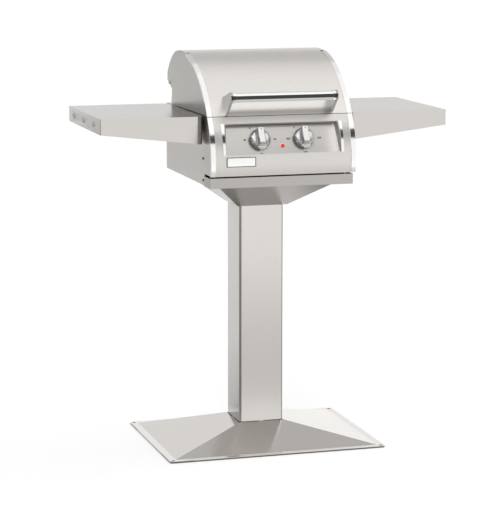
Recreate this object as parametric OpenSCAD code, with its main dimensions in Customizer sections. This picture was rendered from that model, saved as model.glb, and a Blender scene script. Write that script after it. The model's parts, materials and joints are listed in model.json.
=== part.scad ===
// Electric grill on a single square post, with a hinged lid, two fold-down side shelves and a drip tray.
// Millimetres, +X to the right, +Y to the rear, +Z up.
// The origin is on the floor, at the centre of the four anchor holes.

/* [Base] */
// Width of the floor plate, left to right
base_w = 623; // [560:1:700]
// Depth of the floor plate, front to rear
base_d = 473; // [430:1:540]
// Thickness of the floor plate
plate_t = 5; // [3:0.5:8]
// Radius of the floor plate's corners
plate_r = 9; // [3:1:20]
// Distance from the plate's edges to an anchor hole's centre
anchor_inset = 10.5; // [9:0.5:13]
// Radius of an anchor hole
anchor_r = 5; // [3:0.5:6]
// Flat border left between the plate's edge and the raised cover
border = 20; // [18:1:40]
// Height of the raised cover over the plate
cover_h = 52.5; // [45:0.5:70]
// Sheet thickness of the raised cover
cover_t = 2; // [1:0.5:3]
// Side of the square flange at the foot of the post
foot_w = 200; // [180:1:220]
// Thickness of the foot flange
foot_t = 8; // [5:0.5:10]
// Distance of each foot stud from the post's centre lines
foot_stud_at = 82; // [78:1:86]
// Radius of a foot stud
foot_stud_r = 5; // [4:0.5:6]

/* [Post] */
// Side of the square post tube
post_w = 127; // [110:1:135]
// Wall of the post tube
post_wall = 3; // [2:0.5:5]
// Outer corner radius of the post tube
post_r = 7; // [6:0.5:12]
// Height from the floor to the underside of the grill body
body_z = 754; // [650:1:850]
// Side of the square plate on top of the post
head_w = 220; // [200:1:260]
// Thickness of the plate on top of the post
head_t = 6; // [4:0.5:10]
// Distance of each head bolt from the post's centre lines
head_bolt_at = 85; // [78:1:94]
// Radius of a head bolt's shank
head_bolt_r = 4; // [3:0.5:5]

/* [Hopper under the body] */
// Height of the flared hopper
hopper_h = 78; // [60:1:110]
// Side of the hopper's square lower end
hopper_w = 145; // [140:1:160]
// Width of the hopper's open top
hopper_top_w = 344; // [300:1:380]
// Distance from the post's centre to the top's front edge
hopper_front = 212; // [190:1:214]
// Distance from the post's centre to the top's rear edge
hopper_rear = 205; // [180:1:210]
// Sheet thickness of the hopper
hopper_t = 2; // [1:0.5:3]

/* [Body] */
// Width of the body over its side walls
body_w = 400; // [380:1:460]
// Height of the body, from its underside to the deck that the lid closes on
body_h = 188; // [180:1:210]
// Distance from the centre to the seam between side wall and front panel
seam_y = 191; // [186:1:196]
// Distance from the centre to the outside of the rear wall
body_rear = 216; // [210:1:230]
// Sheet thickness of the body walls and the lid
wall_t = 1.5; // [1:0.1:2]
// Width of the cavity between liner and side wall
cavity = 17.3; // [16:0.1:20]
// Distance from the seam back to the liner's front wall
liner_front_gap = 26; // [22:1:30]
// Distance from the rear wall forward to the liner's rear wall
liner_rear_gap = 70; // [66:1:74]
// Sheet thickness of the liner and what stands in it
liner_t = 1.2; // [1:0.1:1.5]
// Height of the liner's floor over the underside of the body
liner_floor = 46; // [38:1:50]
// Side of the square grease drain in the liner's floor
drain_w = 70; // [40:1:100]

/* [Front panel] */
// Radius of the front panel's curve
panel_r = 196; // [180:1:230]
// Straight run between the lid's curve and the panel's curve
panel_run = 20; // [14:1:26]
// Height of the tray's fascia
fascia_h = 28; // [24:0.5:31]
// How far the fascia hangs under the body
fascia_drop = 2; // [0.5:0.5:4]
// Open finger gap over the fascia
finger_gap = 5.5; // [4:0.5:9]
// How far the fascia lies behind the panel's foremost line
fascia_setback = 18; // [14:1:22]
// How much the fascia is wider than the body on each side
fascia_side = 2; // [1.8:0.1:3]

/* [Control recess] */
// Height of the control plate, along its slope
plate_h = 83; // [78:1:86]
// Steel left on each side of the control plate's foot
recess_side = 39.5; // [36:0.5:50]
// How much narrower the control plate is at its head
recess_narrow = 15; // [8:1:20]
// Outward slant of the recess walls, over its depth
recess_flare = 5; // [2:1:7]
// Tilt of the control plate from upright
plate_tilt = 25; // [22:1:28]
// Height of the control plate's foot over the underside of the body
plate_foot = 88.3; // [86:0.1:92]
// How deep the plate's foot lies behind the panel's skin
foot_depth = 4; // [3:0.5:6]
// Width of a polished strip beside the recess
strip_w = 8; // [5:0.5:10]

/* [Knobs and lamp] */
// Distance between the two knobs
knob_pitch = 124; // [110:1:140]
// Height of the knobs over the control plate's foot
knob_up = 41.5; // [39:0.5:44]
// Radius of a knob's disc
knob_r = 29.5; // [26:0.5:31]
// Thickness of a knob's disc
knob_disc_h = 9; // [7:0.5:12]
// Width of a knob's grip bar
grip_w = 15; // [11:0.5:18]
// Height of the grip bar over the disc
grip_h = 18; // [14:0.5:24]
// Radius of the control shafts
shaft_r = 3; // [2.5:0.1:4]
// Height of the lamp over the control plate's foot
lamp_up = 23.3; // [20:0.1:26]
// Radius of the lamp's lens
lamp_r = 5; // [3:0.5:6]

/* [Badge] */
// Width of the bare name plate
badge_w = 80; // [60:1:100]
// Height of the bare name plate
badge_h = 25; // [16:1:28]
// Thickness of the bare name plate
badge_t = 2; // [1:0.5:3]
// How far in from the body's side the name plate's middle lies
badge_side = 80; // [75:1:95]

/* [Lid] */
// Height of the closed lid over the deck
lid_h = 159.5; // [150:0.5:175]
// Distance from the centre forward to the lid's front edge
lid_front = 232; // [226:1:238]
// Lean of the lid's skin from upright at its front edge
lid_lean = 31; // [28:0.5:34]
// Angle past the top where the rear curve begins
rear_turn = 6.1; // [5:0.1:7]
// How far the lid's back lies in front of the rear wall
lid_back_gap = 14; // [11:1:18]
// Gap between the lid's lower edge and the deck
lid_seat = 0.4; // [0.3:0.1:0.9]
// Gap between the lid's skin and the front panel
lid_seam = 1.4; // [1:0.1:2]
// Width of the polished trims over the body's side
trim_w = 13.4; // [10:0.1:16]
// How far a trim stands proud of the skin and the side
trim_t = 1.5; // [1:0.1:2.5]
// How far a trim stands proud sideways
trim_side = 4; // [3:0.5:5]
// Depth of the trim's outer edge
trim_edge = 6; // [4:0.5:9]
// Distance from the centre forward to the lid trims' upper end
trim_end = 12; // [5:1:30]

/* [Handle] */
// Radius of the handle bar
bar_r = 12.7; // [10:0.1:14]
// Distance between the inner faces of the handle arms
bar_len = 288; // [240:1:310]
// Thickness of a handle arm
arm_t = 7; // [5:0.5:10]
// Radius of a handle arm's nose
arm_nose_r = 14.5; // [13:0.5:17]
// Distance from the lid's skin out to the bar's axis
bar_off = 54.5; // [48:0.5:60]
// Angle of the bar's axis over the middle of the lid's curve
bar_angle = 35.5; // [34:0.5:37]
// Width of the collars on the bar
collar_w = 7; // [4:0.5:12]

/* [Shelves] */
// Width over both shelves when they are up
shelf_span = 979.4; // [900:0.1:1080]
// Depth of a shelf, front to rear
shelf_d = 396; // [380:1:410]
// Distance from the centre forward to a shelf's front edge
shelf_front = 204.6; // [200:0.1:208]
// Height of the skirt at the shelf's outer end
skirt_out = 42; // [36:1:50]
// Height of the skirt beside the body
skirt_in = 76; // [72:1:82]
// Gap between the body and a shelf
shelf_gap = 6; // [5.5:0.5:8]
// Radius of the shelf corners beside the body
shelf_in_r = 18; // [12:1:20]
// Radius of the shelf's outer corners
shelf_out_r = 3; // [2.5:0.5:6]
// Sheet thickness of a shelf
shelf_t = 1.5; // [1.2:0.1:2]
// Radius of the shelf hinge pins
hinge_pin_r = 4; // [3:0.5:5]
// Distance between the tool hooks on a shelf's end
hook_pitch = 123.5; // [90:0.5:140]
// Height of a tool hook
hook_h = 17; // [12:1:20]
// Width of a tool hook
hook_w = 7; // [5:0.5:10]

/* [Drip tray] */
// Depth of the tray's pan
pan_h = 16.5; // [13:0.5:18]
// Gap between the tray's pan and the side walls
pan_side_gap = 20.5; // [18:0.5:24]
// Gap between the tray's pan and the rear wall
pan_rear_gap = 24.5; // [20:0.5:40]

/* [Cooking parts] */
// Rods in each cooking grate
grate_rods = 10; // [6:1:11]
// Radius of a grate rod
grate_r = 3; // [2.5:0.5:4]
// Height of the grate's seat under the deck
grate_drop = 24; // [22:1:27]
// Passes of the heating element, an even number
element_legs = 6; // [4:2:6]
// Radius of the heating element's tube
element_r = 4; // [3:0.5:5]
// Height of the heating element's axis under the deck
element_drop = 47; // [43:1:50]
// Height of the reflector over the liner's floor
reflector_h = 50; // [40:1:58]

/* [Hidden] */
$fn = 48;

// Shared gaps: a seat, a running fit, and the overrun of a cut
slip = 0.3;
run_fit = 0.05;
over = 1;

// Colours
steel = [0.76, 0.76, 0.75];
bright = [0.9, 0.9, 0.9];
dark = [0.15, 0.15, 0.15];
lamp_red = [0.9, 0.1, 0.05];

// Body places
half_w = body_w / 2;
in_w = half_w - wall_t;
recess_w = body_w - 2 * recess_side;
deck_z = body_z + body_h;
wall_top = deck_z - wall_t;
floor_top = body_z + wall_t;
liner_w = in_w - cavity;
liner_y0 = liner_front_gap - seam_y;
liner_y1 = body_rear - liner_rear_gap;
liner_z = body_z + liner_floor;
rear_in = body_rear - wall_t;
hopper_z = body_z - hopper_h;
head_z = body_z - head_t;

// Lid curve: the front curve meets the deck at its lean, and the rear curve runs on from it to the back's top edge
back_share = 0.5417;
heel_share = 0.42;
notch_share = 0.276;
pivot_share = 0.386;
back_y = body_rear - lid_back_gap;
back_top = [back_y, deck_z + back_share * lid_h];
heel_z = deck_z + heel_share * lid_h;
seam_out = [-cos(lid_lean), sin(lid_lean)];
seam_down = [-seam_out.y, seam_out.x];
seam_point = [-lid_front, deck_z];
lid_r = lid_h / (1 - sin(lid_lean));
lid_c = seam_point - lid_r * seam_out;
turn_out = [sin(rear_turn), cos(rear_turn)];
to_turn = lid_c + lid_r * turn_out - back_top;
rear_r = to_turn * to_turn / (2 * to_turn * turn_out);
rear_c = lid_c + (lid_r - rear_r) * turn_out;
reach = 2 * lid_r;

// Panel curve: where its straight run ends, its middle and its foremost line
run_end = seam_point + panel_run * seam_down;
panel_c = run_end - panel_r * seam_out;
panel_front = panel_c.x - panel_r;
panel_z = body_z - fascia_drop + fascia_h + finger_gap;

// Fascia and tray places
fascia_y = panel_front + fascia_setback;
fascia_z = body_z - fascia_drop;
fascia_w = half_w + fascia_side;
fascia_lip = 17;
nut_room = 5;
pan_z = floor_top + nut_room;
pan_top = pan_z + pan_h;
pan_w = in_w - pan_side_gap;
pan_y1 = rear_in - pan_rear_gap;
pan_flange = 12;
pan_t = 1.2;
runner_w = 17.5;

// Control plate's frame: its foot lies behind the panel's skin
plate_z = body_z + plate_foot;
plate_y = panel_c.x - sqrt(panel_r * panel_r - pow(plate_z - panel_c.y, 2)) + foot_depth;
plate_sheet = 1.5;
recess_reach = 40;
recess_deep = 14;
knob_gap = 2;
bush_r = 5;
bush_up = 1.5;
control_w = 48;
control_h = 34;

// Lid rear outline, in depth and height from the pivot's own corner
notch_in = 52;
notch_h = notch_share * lid_h;
rear_foot_in = 42;
pivot_in = 26;
pivot_h = pivot_share * lid_h;
pivot = [back_y - pivot_in, deck_z + pivot_h];
pivot_r = 3.5;
pivot_head_r = 5;
pivot_head_h = 2.6;
ear_t = 3;
ear_in = 13;
ear_nose_r = 10;
ear_fore = 15;
ear_aft = 5;
ear_foot_w = 20;
ear_foot_inset = 3;
rear_panel_w = half_w - ear_in - ear_t - ear_foot_w - slip;
rim_aft = 4;

// Shelf places
shelf_x0 = half_w + shelf_gap;
shelf_x1 = shelf_span / 2;
shelf_y1 = shelf_d - shelf_front;
end_wall_h = 50;
hinge_out = 14;
hinge_x = half_w + hinge_out;
hinge_up = 8;
hinge_z = deck_z - skirt_in + hinge_up;
rib_t = 3;
rib_h = 16;
rib_lug_r = 8;
rib_at = 120;
rib_end_gap = 34;
bracket_t = 2.5;
bracket_h = 34;
bracket_w = 30;
hook_lift = 21;
hook_out = 4;
hook_shift = 7.6;

// Fastener sizes
screw_r = 2;
screw_head_r = 3.5;
screw_head_h = 2.2;
side_screw_in = 13;
side_screw_zs = [72, 13];
tab_w = 24;

// Cooking places
grate_z = deck_z - grate_drop;
grate_split = 2;
grate_end = 3;
rail_w = 12;
rail_t = 2;
element_z = deck_z - element_drop;
element_turn_in = 30;
element_side_in = 52;
leg_pitch = (liner_y1 - liner_y0 - 2 * element_side_in) / (element_legs - 1);
support_x = 80;
support_h = 12;
terminal_w = 13;
terminal_h = 22;
terminal_over = 12;
probe_r = 3;
probe_len = 120;
probe_in = 10;
probe_up = 12;

// Wiring places
badge_x = half_w - badge_side;
inlet_side = 50;
inlet_x = half_w - inlet_side;
inlet_up = 66;
gland_r = 10;
gland_neck_r = 8;
gland_out = 14;
gland_nut = 5;
loom_r = 3;
loom_branch = 30;

// Shapes
module block(lo, hi) translate(lo) cube(hi - lo);

module along_x(x0, x1) translate([x0, 0, 0]) rotate([90, 0, 90]) linear_extrude(height = x1 - x0) children();

module along_y(y0, y1) translate([0, y1, 0]) rotate([90, 0, 0]) linear_extrude(height = y1 - y0) children();

module both_sides() {
  children();
  mirror([1, 0, 0]) children();
}

module four(at) for (x = [-at, at], y = [-at, at]) translate([x, y, 0]) children();

module rounded_square(half, r) {
  square([2 * half, 2 * (half - r)], center = true);
  square([2 * (half - r), 2 * half], center = true);
  for (x = [r - half, half - r], y = [r - half, half - r]) translate([x, y]) circle(r);
}

// Solid between two rectangles, each given by its low and high corner
module flare(lo, hi, z0, lo2, hi2, z1) polyhedron(
  points = [
    [lo.x, lo.y, z0], [hi.x, lo.y, z0], [hi.x, hi.y, z0], [lo.x, hi.y, z0],
    [lo2.x, lo2.y, z1], [hi2.x, lo2.y, z1], [hi2.x, hi2.y, z1], [lo2.x, hi2.y, z1]],
  faces = [[0, 1, 2, 3], [7, 6, 5, 4], [0, 4, 5, 1], [1, 5, 6, 2], [2, 6, 7, 3], [3, 7, 4, 0]]);

module rod(p, q, r) {
  d = q - p;
  translate(p) rotate([0, acos(d.z / norm(d)), atan2(d.y, d.x)]) cylinder(h = norm(d), r = r);
}

// Base
module base_plate() color(steel) difference() {
  linear_extrude(height = plate_t) difference() {
    union() {
      square([base_w, base_d - 2 * plate_r], center = true);
      square([base_w - 2 * plate_r, base_d], center = true);
      for (x = [-1, 1], y = [-1, 1])
        translate([x * (base_w / 2 - plate_r), y * (base_d / 2 - plate_r)]) circle(plate_r);
    }
  }
  for (x = [-1, 1], y = [-1, 1])
    translate([x * (base_w / 2 - anchor_inset), y * (base_d / 2 - anchor_inset), -over])
      cylinder(h = plate_t + 2 * over, r = anchor_r);
}

module base_cover() {
  outer = [base_w / 2 - border, base_d / 2 - border];
  inner = outer - [4 * cover_t, 3 * cover_t];
  neck = post_w / 2 + slip;
  top = neck + cover_t;
  color(steel) difference() {
    flare(-outer, outer, plate_t, [-top, -top], [top, top], plate_t + cover_h);
    flare(-inner, inner, plate_t - over, [-neck, -neck], [neck, neck], plate_t + cover_h - cover_t);
    block([-neck, -neck, plate_t], [neck, neck, plate_t + cover_h + over]);
  }
}

module foot_flange() color(steel) difference() {
  translate([0, 0, plate_t]) linear_extrude(height = foot_t) rounded_square(foot_w / 2, plate_r);
  four(foot_stud_at) translate([0, 0, plate_t - over])
    cylinder(h = foot_t + 2 * over, r = foot_stud_r + slip);
}

module foot_studs() {
  nut_h = 1.6 * foot_stud_r;
  color(bright) four(foot_stud_at) {
    translate([0, 0, plate_t]) cylinder(h = foot_t + 2 * nut_h, r = foot_stud_r);
    translate([0, 0, plate_t + foot_t]) cylinder(h = nut_h, r = 1.8 * foot_stud_r, $fn = 6);
  }
}

// Post and head
module post_tube() color(steel) translate([0, 0, plate_t + foot_t])
  linear_extrude(height = head_z - plate_t - foot_t) difference() {
    rounded_square(post_w / 2, post_r);
    rounded_square(post_w / 2 - post_wall, post_r - post_wall);
  }

module head_plate() color(steel) difference() {
  translate([0, 0, head_z]) linear_extrude(height = head_t) rounded_square(head_w / 2, plate_r);
  four(head_bolt_at) translate([0, 0, head_z - over])
    cylinder(h = head_t + 2 * over, r = head_bolt_r + slip);
}

module head_bolts() {
  head_h = nut_room - over;
  nut_h = 1.6 * head_bolt_r;
  color(bright) four(head_bolt_at) {
    translate([0, 0, head_z - nut_h - over]) cylinder(h = head_t + wall_t + nut_h + over, r = head_bolt_r);
    translate([0, 0, floor_top]) cylinder(h = head_h, r = 1.75 * head_bolt_r);
    translate([0, 0, head_z - nut_h]) cylinder(h = nut_h, r = 1.75 * head_bolt_r, $fn = 6);
  }
}

module hopper() {
  foot = hopper_w / 2;
  top = hopper_top_w / 2;
  neck = post_w / 2 + slip;
  color(steel) difference() {
    flare([-foot, -foot], [foot, foot], hopper_z, [-top, -hopper_front], [top, hopper_rear], body_z);
    flare([hopper_t - foot, hopper_t - foot], [foot - hopper_t, foot - hopper_t], hopper_z + hopper_t,
      [hopper_t - top, hopper_t - hopper_front], [top - hopper_t, hopper_rear - hopper_t], body_z + over);
    block([-neck, -neck, hopper_z - over], [neck, neck, body_z]);
  }
}

// Body
module body_floor() color(steel) difference() {
  block([-in_w, -hopper_front - hopper_t, body_z], [in_w, rear_in, floor_top]);
  four(head_bolt_at) translate([0, 0, body_z - over])
    cylinder(h = wall_t + 2 * over, r = head_bolt_r + slip);
}

module body_side() difference() {
  block([in_w, -seam_y, body_z], [half_w, body_rear, wall_top]);
  for (up = side_screw_zs) translate([in_w - over, side_screw_in - seam_y, body_z + up])
    rotate([0, 90, 0]) cylinder(h = wall_t + 2 * over, r = screw_r + slip);
}

module body_side_left() color(steel) mirror([1, 0, 0]) body_side();

module body_side_right() color(steel) body_side();

module body_rear() {
  slot_w = 6;
  slot_h = 40;
  slot_pitch = 18;
  slot_up = 110;
  slots = 9;
  color(steel) difference() {
    union() {
      block([-in_w, rear_in, body_z], [in_w, body_rear, deck_z]);
      block([-half_w, liner_y1 + rim_aft, wall_top], [half_w, body_rear, deck_z]);
    }
    for (i = [0:slots - 1])
      block([(i - (slots - 1) / 2) * slot_pitch - slot_w / 2, rear_in - over, body_z + slot_up],
        [(i - (slots - 1) / 2) * slot_pitch + slot_w / 2, body_rear + over, body_z + slot_up + slot_h]);
    translate([inlet_x, body_rear + over, body_z + inlet_up]) rotate([90, 0, 0])
      cylinder(h = wall_t + 2 * over, r = gland_neck_r + slip);
  }
}

module liner() color(steel) difference() {
  union() {
    block([-liner_w, liner_y0, liner_z], [liner_w, liner_y1, deck_z]);
    block([-half_w, liner_y0 - over, wall_top], [half_w, liner_y1 + rim_aft - slip, deck_z]);
  }
  block([liner_t - liner_w, liner_y0 + liner_t, liner_z + liner_t],
    [liner_w - liner_t, liner_y1 - liner_t, deck_z + over]);
  block([-drain_w / 2, -drain_w / 2, liner_z - over], [drain_w / 2, drain_w / 2, liner_z + liner_t + over]);
  for (y = [leg_y(0), leg_y(element_legs - 1)]) translate([liner_w - liner_t - over, y, element_z])
    rotate([0, 90, 0]) cylinder(h = liner_t + 2 * over, r = element_r + slip);
}

function leg_y(i) = liner_y0 + element_side_in + i * leg_pitch;

module reflector() {
  side = liner_w - liner_t - 2 * rail_w;
  z0 = liner_z + liner_t;
  color(steel) difference() {
    block([-side, liner_y0 + rail_w, z0], [side, liner_y1 - rail_w, z0 + reflector_h]);
    block([liner_t - side, liner_y0, z0 - over], [side - liner_t, liner_y1, z0 + reflector_h - liner_t]);
  }
}

module grate_rails() {
  side = liner_w - liner_t - slip;
  y0 = liner_y0 + liner_t;
  y1 = liner_y1 - liner_t;
  color(steel) {
    block([-side, y0, grate_z - rail_t], [side, y0 + rail_w, grate_z]);
    block([-side, y0, grate_z - rail_w], [side, y0 + rail_t, grate_z]);
    block([-side, y1 - rail_w, grate_z - rail_t], [side, y1, grate_z]);
    block([-side, y1 - rail_t, grate_z - rail_w], [side, y1, grate_z]);
  }
}

module grate() {
  x0 = grate_split;
  x1 = liner_w - liner_t - grate_end;
  y0 = liner_y0 + liner_t + grate_end;
  y1 = liner_y1 - liner_t - grate_end;
  pitch = (x1 - x0 - 2 * grate_r) / (grate_rods - 1);
  low = grate_z + slip + grate_r;
  high = low + 1.5 * grate_r;
  for (i = [0:grate_rods - 1])
    rod([x0 + grate_r + i * pitch, y0, high], [x0 + grate_r + i * pitch, y1, high], grate_r);
  for (y = [y0 + grate_r, y1 - grate_r]) rod([x0, y, low], [x1, y, low], grate_r);
}

module grate_left() color(bright) mirror([1, 0, 0]) grate();

module grate_right() color(bright) grate();

module heating_element() {
  turn = liner_w - element_turn_in;
  wall_x = liner_w + terminal_w / 2;
  color(dark) {
    for (i = [0:element_legs - 1]) {
      end = (i == 0 || i == element_legs - 1) ? wall_x : turn - leg_pitch / 2;
      rod([leg_pitch / 2 - turn, leg_y(i), element_z], [end, leg_y(i), element_z], element_r);
    }
    for (i = [0:element_legs - 2]) {
      s = (i % 2 == 0) ? -1 : 1;
      translate([s * (turn - leg_pitch / 2), leg_y(i) + leg_pitch / 2, element_z])
        intersection() {
          rotate_extrude() translate([leg_pitch / 2, 0]) circle(element_r);
          block([(s - 1) * leg_pitch / 2, -leg_pitch, -leg_pitch], [(s + 1) * leg_pitch / 2, leg_pitch, leg_pitch]);
        }
    }
  }
}

module element_supports() {
  top = element_z - element_r - slip;
  color(steel) for (x = [-support_x, support_x])
    block([x - rail_t / 2, liner_y0 + liner_t, top - support_h], [x + rail_t / 2, liner_y1 - liner_t, top]);
}

module terminal_box() color(dark) difference() {
  block([liner_w + slip / 2, leg_y(0) - terminal_over, element_z - terminal_h / 2],
    [liner_w + terminal_w, leg_y(element_legs - 1) + terminal_over, element_z + terminal_h / 2]);
  for (y = [leg_y(0), leg_y(element_legs - 1)]) translate([liner_w, y, element_z])
    rotate([0, 90, 0]) cylinder(h = terminal_w / 2, r = element_r);
}

module thermostat_probe() {
  x = liner_w - liner_t - probe_in;
  z = element_z + probe_up;
  clip_at = probe_len / 3;
  color(bright) {
    rod([x, -probe_len / 2, z], [x, probe_len / 2, z], probe_r);
    for (y = [-clip_at, clip_at])
      block([x, y - probe_r, z - probe_r / 2], [liner_w - liner_t, y + probe_r, z + probe_r / 2]);
  }
}

module wire_loom() {
  x = in_w - cavity / 2;
  z = body_z + inlet_up;
  deep = plate_sheet + control_h + slip;
  y_fore = plate_y + knob_up * sin(plate_tilt) + (deep + loom_branch) * cos(plate_tilt);
  z_fore = plate_z + knob_up * cos(plate_tilt) - (deep + loom_branch) * sin(plate_tilt);
  points = [
    [inlet_x, rear_in - gland_nut - slip, z], [inlet_x, liner_y1 + gland_out, z], [x, liner_y1 + gland_out, z],
    [x, y_fore, z], [x, y_fore, z_fore], [-knob_pitch / 2, y_fore, z_fore]];
  color(dark) {
    for (i = [0:len(points) - 2]) rod(points[i], points[i + 1], loom_r);
    for (i = [1:len(points) - 1]) translate(points[i]) sphere(loom_r + slip);
    on_plate() for (s = [-1, 1]) translate([s * knob_pitch / 2, knob_up, -deep - loom_branch])
      cylinder(h = loom_branch, r = loom_r);
    rod([x, 0, z], [x, 0, element_z - terminal_h / 2 - slip], loom_r);
  }
}

module inlet_gland() color(dark) translate([inlet_x, 0, body_z + inlet_up]) rotate([-90, 0, 0])
  difference() {
    union() {
      translate([0, 0, body_rear]) cylinder(h = gland_out / 2, r = gland_r, $fn = 6);
      translate([0, 0, body_rear + gland_out / 2]) cylinder(h = gland_out / 2, r = gland_neck_r);
      translate([0, 0, rear_in - gland_nut]) cylinder(h = gland_nut + wall_t, r = gland_neck_r);
      translate([0, 0, rear_in - gland_nut]) cylinder(h = gland_nut, r = gland_r + over, $fn = 6);
    }
    translate([0, 0, body_rear]) cylinder(h = gland_out + over, r = loom_r);
  }

// Front panel: a band of sheet between two depths under the skin's outer face
module panel_band(d0, d1) {
  top = run_end - 2 * panel_run * seam_down;
  intersection() {
    difference() {
      translate(panel_c) circle(panel_r - d0, $fn = 180);
      translate(panel_c) circle(panel_r - d1, $fn = 180);
    }
    polygon([panel_c, run_end - d1 * seam_out, run_end - d0 * seam_out, panel_c + reach * seam_out,
      [-reach, panel_z], [panel_c.x, panel_z]]);
    translate([-reach, panel_z]) square([reach, body_h]);
  }
  intersection() {
    polygon([run_end - d0 * seam_out, top - d0 * seam_out, top - d1 * seam_out, run_end - d1 * seam_out]);
    translate([-reach, panel_z]) square([reach, deck_z - panel_z]);
  }
}

// Everything behind the skin, as far back as the given depth
module panel_fill(d, back) intersection() {
  union() {
    intersection() {
      translate(panel_c) circle(panel_r - d, $fn = 180);
      polygon([panel_c, run_end - d * seam_out, panel_c + reach * seam_out, [-reach, panel_z], [panel_c.x, panel_z]]);
    }
    polygon([panel_c, run_end - d * seam_out, run_end - d * seam_out - 2 * panel_run * seam_down,
      [back, deck_z + panel_run], [back, panel_z], [panel_c.x, panel_z]]);
  }
  translate([-reach, panel_z]) square([reach + back, deck_z - panel_z]);
}

module on_plate() translate([0, plate_y, plate_z]) rotate([90 - plate_tilt, 0, 0]) children();

// The recess as a solid, widened by a given amount
module recess_space(grow) {
  foot = recess_w / 2 + grow;
  head = foot - recess_narrow / 2;
  depth = recess_reach;
  wide = recess_flare * recess_reach / recess_deep;
  polyhedron(
    points = [
      [-foot, -grow, 0], [foot, -grow, 0], [head, plate_h + grow, 0], [-head, plate_h + grow, 0],
      [-foot - wide, -grow, depth], [foot + wide, -grow, depth], [head + wide, plate_h + grow, depth],
      [-head - wide, plate_h + grow, depth]],
    faces = [[0, 1, 2, 3], [7, 6, 5, 4], [0, 4, 5, 1], [1, 5, 6, 2], [2, 6, 7, 3], [3, 7, 4, 0]]);
}

module front_panel() color(steel) difference() {
  union() {
    along_x(-half_w, half_w) panel_band(0, wall_t);
    both_sides() {
      along_x(in_w, half_w) intersection() {
        panel_fill(wall_t, 0);
        translate([-reach, panel_z]) square([reach - seam_y, body_h]);
      }
      block([in_w - wall_t, over - seam_y - tab_w / 2, panel_z + wall_t],
        [in_w, tab_w / 2 + tab_w / 4 - seam_y, wall_top - wall_t]);
    }
    along_x(-half_w, half_w) intersection() {
      panel_fill(wall_t, 0);
      translate([-reach, wall_top]) square([reach + liner_y0 - over - slip, wall_t]);
    }
  }
  on_plate() recess_space(wall_t);
  for (up = side_screw_zs) both_sides()
    translate([in_w - wall_t - over, side_screw_in - seam_y, body_z + up])
      rotate([0, 90, 0]) cylinder(h = wall_t + over, r = screw_r + slip);
}

module panel_trim() {
  along_x(half_w + trim_side - trim_w, half_w) panel_band(-trim_t, 0);
  along_x(half_w, half_w + trim_side) panel_band(-trim_t, trim_edge);
}

module panel_trim_left() color(bright) mirror([1, 0, 0]) panel_trim();

module panel_trim_right() color(bright) panel_trim();

module recess_frame() color(steel) intersection() {
  on_plate() difference() {
    recess_space(wall_t);
    translate([0, 0, -over]) recess_space(0);
  }
  along_x(-half_w, half_w) translate(panel_c) circle(panel_r, $fn = 180);
}

module recess_strips() color(bright) both_sides() intersection() {
  along_x(recess_w / 2 + wall_t, recess_w / 2 + wall_t + strip_w) panel_band(-trim_t, 0);
  block([0, 2 * panel_front, plate_z], [half_w, 0, min(plate_z + plate_h, run_end.y)]);
}

module control_plate() {
  foot = recess_w / 2 + wall_t;
  head = foot - recess_narrow / 2;
  color(steel) on_plate() difference() {
    translate([0, 0, -plate_sheet]) linear_extrude(height = plate_sheet)
      polygon([[-foot, -wall_t], [foot, -wall_t], [head, plate_h + wall_t], [-head, plate_h + wall_t]]);
    for (x = [-knob_pitch / 2, knob_pitch / 2]) translate([x, knob_up, -plate_sheet - over])
      cylinder(h = plate_sheet + 2 * over, r = bush_r + slip);
    translate([0, lamp_up, -plate_sheet - over]) cylinder(h = plate_sheet + 2 * over, r = lamp_r);
  }
}

module badge_block(grow, d0, d1) intersection() {
  along_x(-badge_x - badge_w / 2 - grow, badge_w / 2 - badge_x + grow) panel_band(d0, d1);
  block([-body_w, 2 * panel_front, panel_c.y - badge_h / 2 - grow], [0, 0, panel_c.y + badge_h / 2 + grow]);
}

module name_plate() color(bright) difference() {
  badge_block(0, -badge_t, 0);
  badge_block(-badge_t / 2, -badge_t - over, -0.75 * badge_t);
}

module indicator_lamp() color(lamp_red) on_plate() translate([0, lamp_up, 0]) {
  translate([0, 0, -control_h / 2]) cylinder(h = control_h / 2, r = lamp_r - slip);
  cylinder(h = lamp_r / 4, r = 1.3 * lamp_r);
  intersection() {
    translate([0, 0, lamp_r / 4]) sphere(lamp_r);
    cylinder(h = 2 * lamp_r, r = lamp_r);
  }
}

// A control behind the plate, with the bush that carries its shaft
module control_body() on_plate() translate([0, knob_up, 0]) difference() {
  union() {
    block([-control_w / 2, -control_w / 2, -plate_sheet - control_h], [control_w / 2, control_w / 2, -plate_sheet]);
    translate([0, 0, -plate_sheet]) cylinder(h = plate_sheet + bush_up, r = bush_r);
  }
  translate([0, 0, -control_h / 2]) cylinder(h = control_h, r = shaft_r + run_fit);
}

module control_shaft() on_plate() translate([0, knob_up, -control_h / 2])
  cylinder(h = control_h / 2 + knob_gap + knob_disc_h, r = shaft_r);

module knob() on_plate() translate([0, knob_up, knob_gap]) difference() {
  union() {
    cylinder(h = knob_disc_h, r = knob_r);
    intersection() {
      block([-grip_w / 2, -0.55 * knob_r, knob_disc_h], [grip_w / 2, knob_r, knob_disc_h + grip_h]);
      cylinder(h = knob_disc_h + grip_h, r = knob_r);
    }
  }
  translate([0, 0, -over]) cylinder(h = knob_disc_h + over, r = shaft_r + run_fit);
}

module timer_body() color(dark) translate([-knob_pitch / 2, 0, 0]) control_body();

module timer_shaft() color(bright) translate([-knob_pitch / 2, 0, 0]) control_shaft();

module timer_knob() color(bright) translate([-knob_pitch / 2, 0, 0]) knob();

module thermostat_body() color(dark) translate([knob_pitch / 2, 0, 0]) control_body();

module thermostat_shaft() color(bright) translate([knob_pitch / 2, 0, 0]) control_shaft();

module thermostat_knob() color(bright) translate([knob_pitch / 2, 0, 0]) knob();

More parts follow.
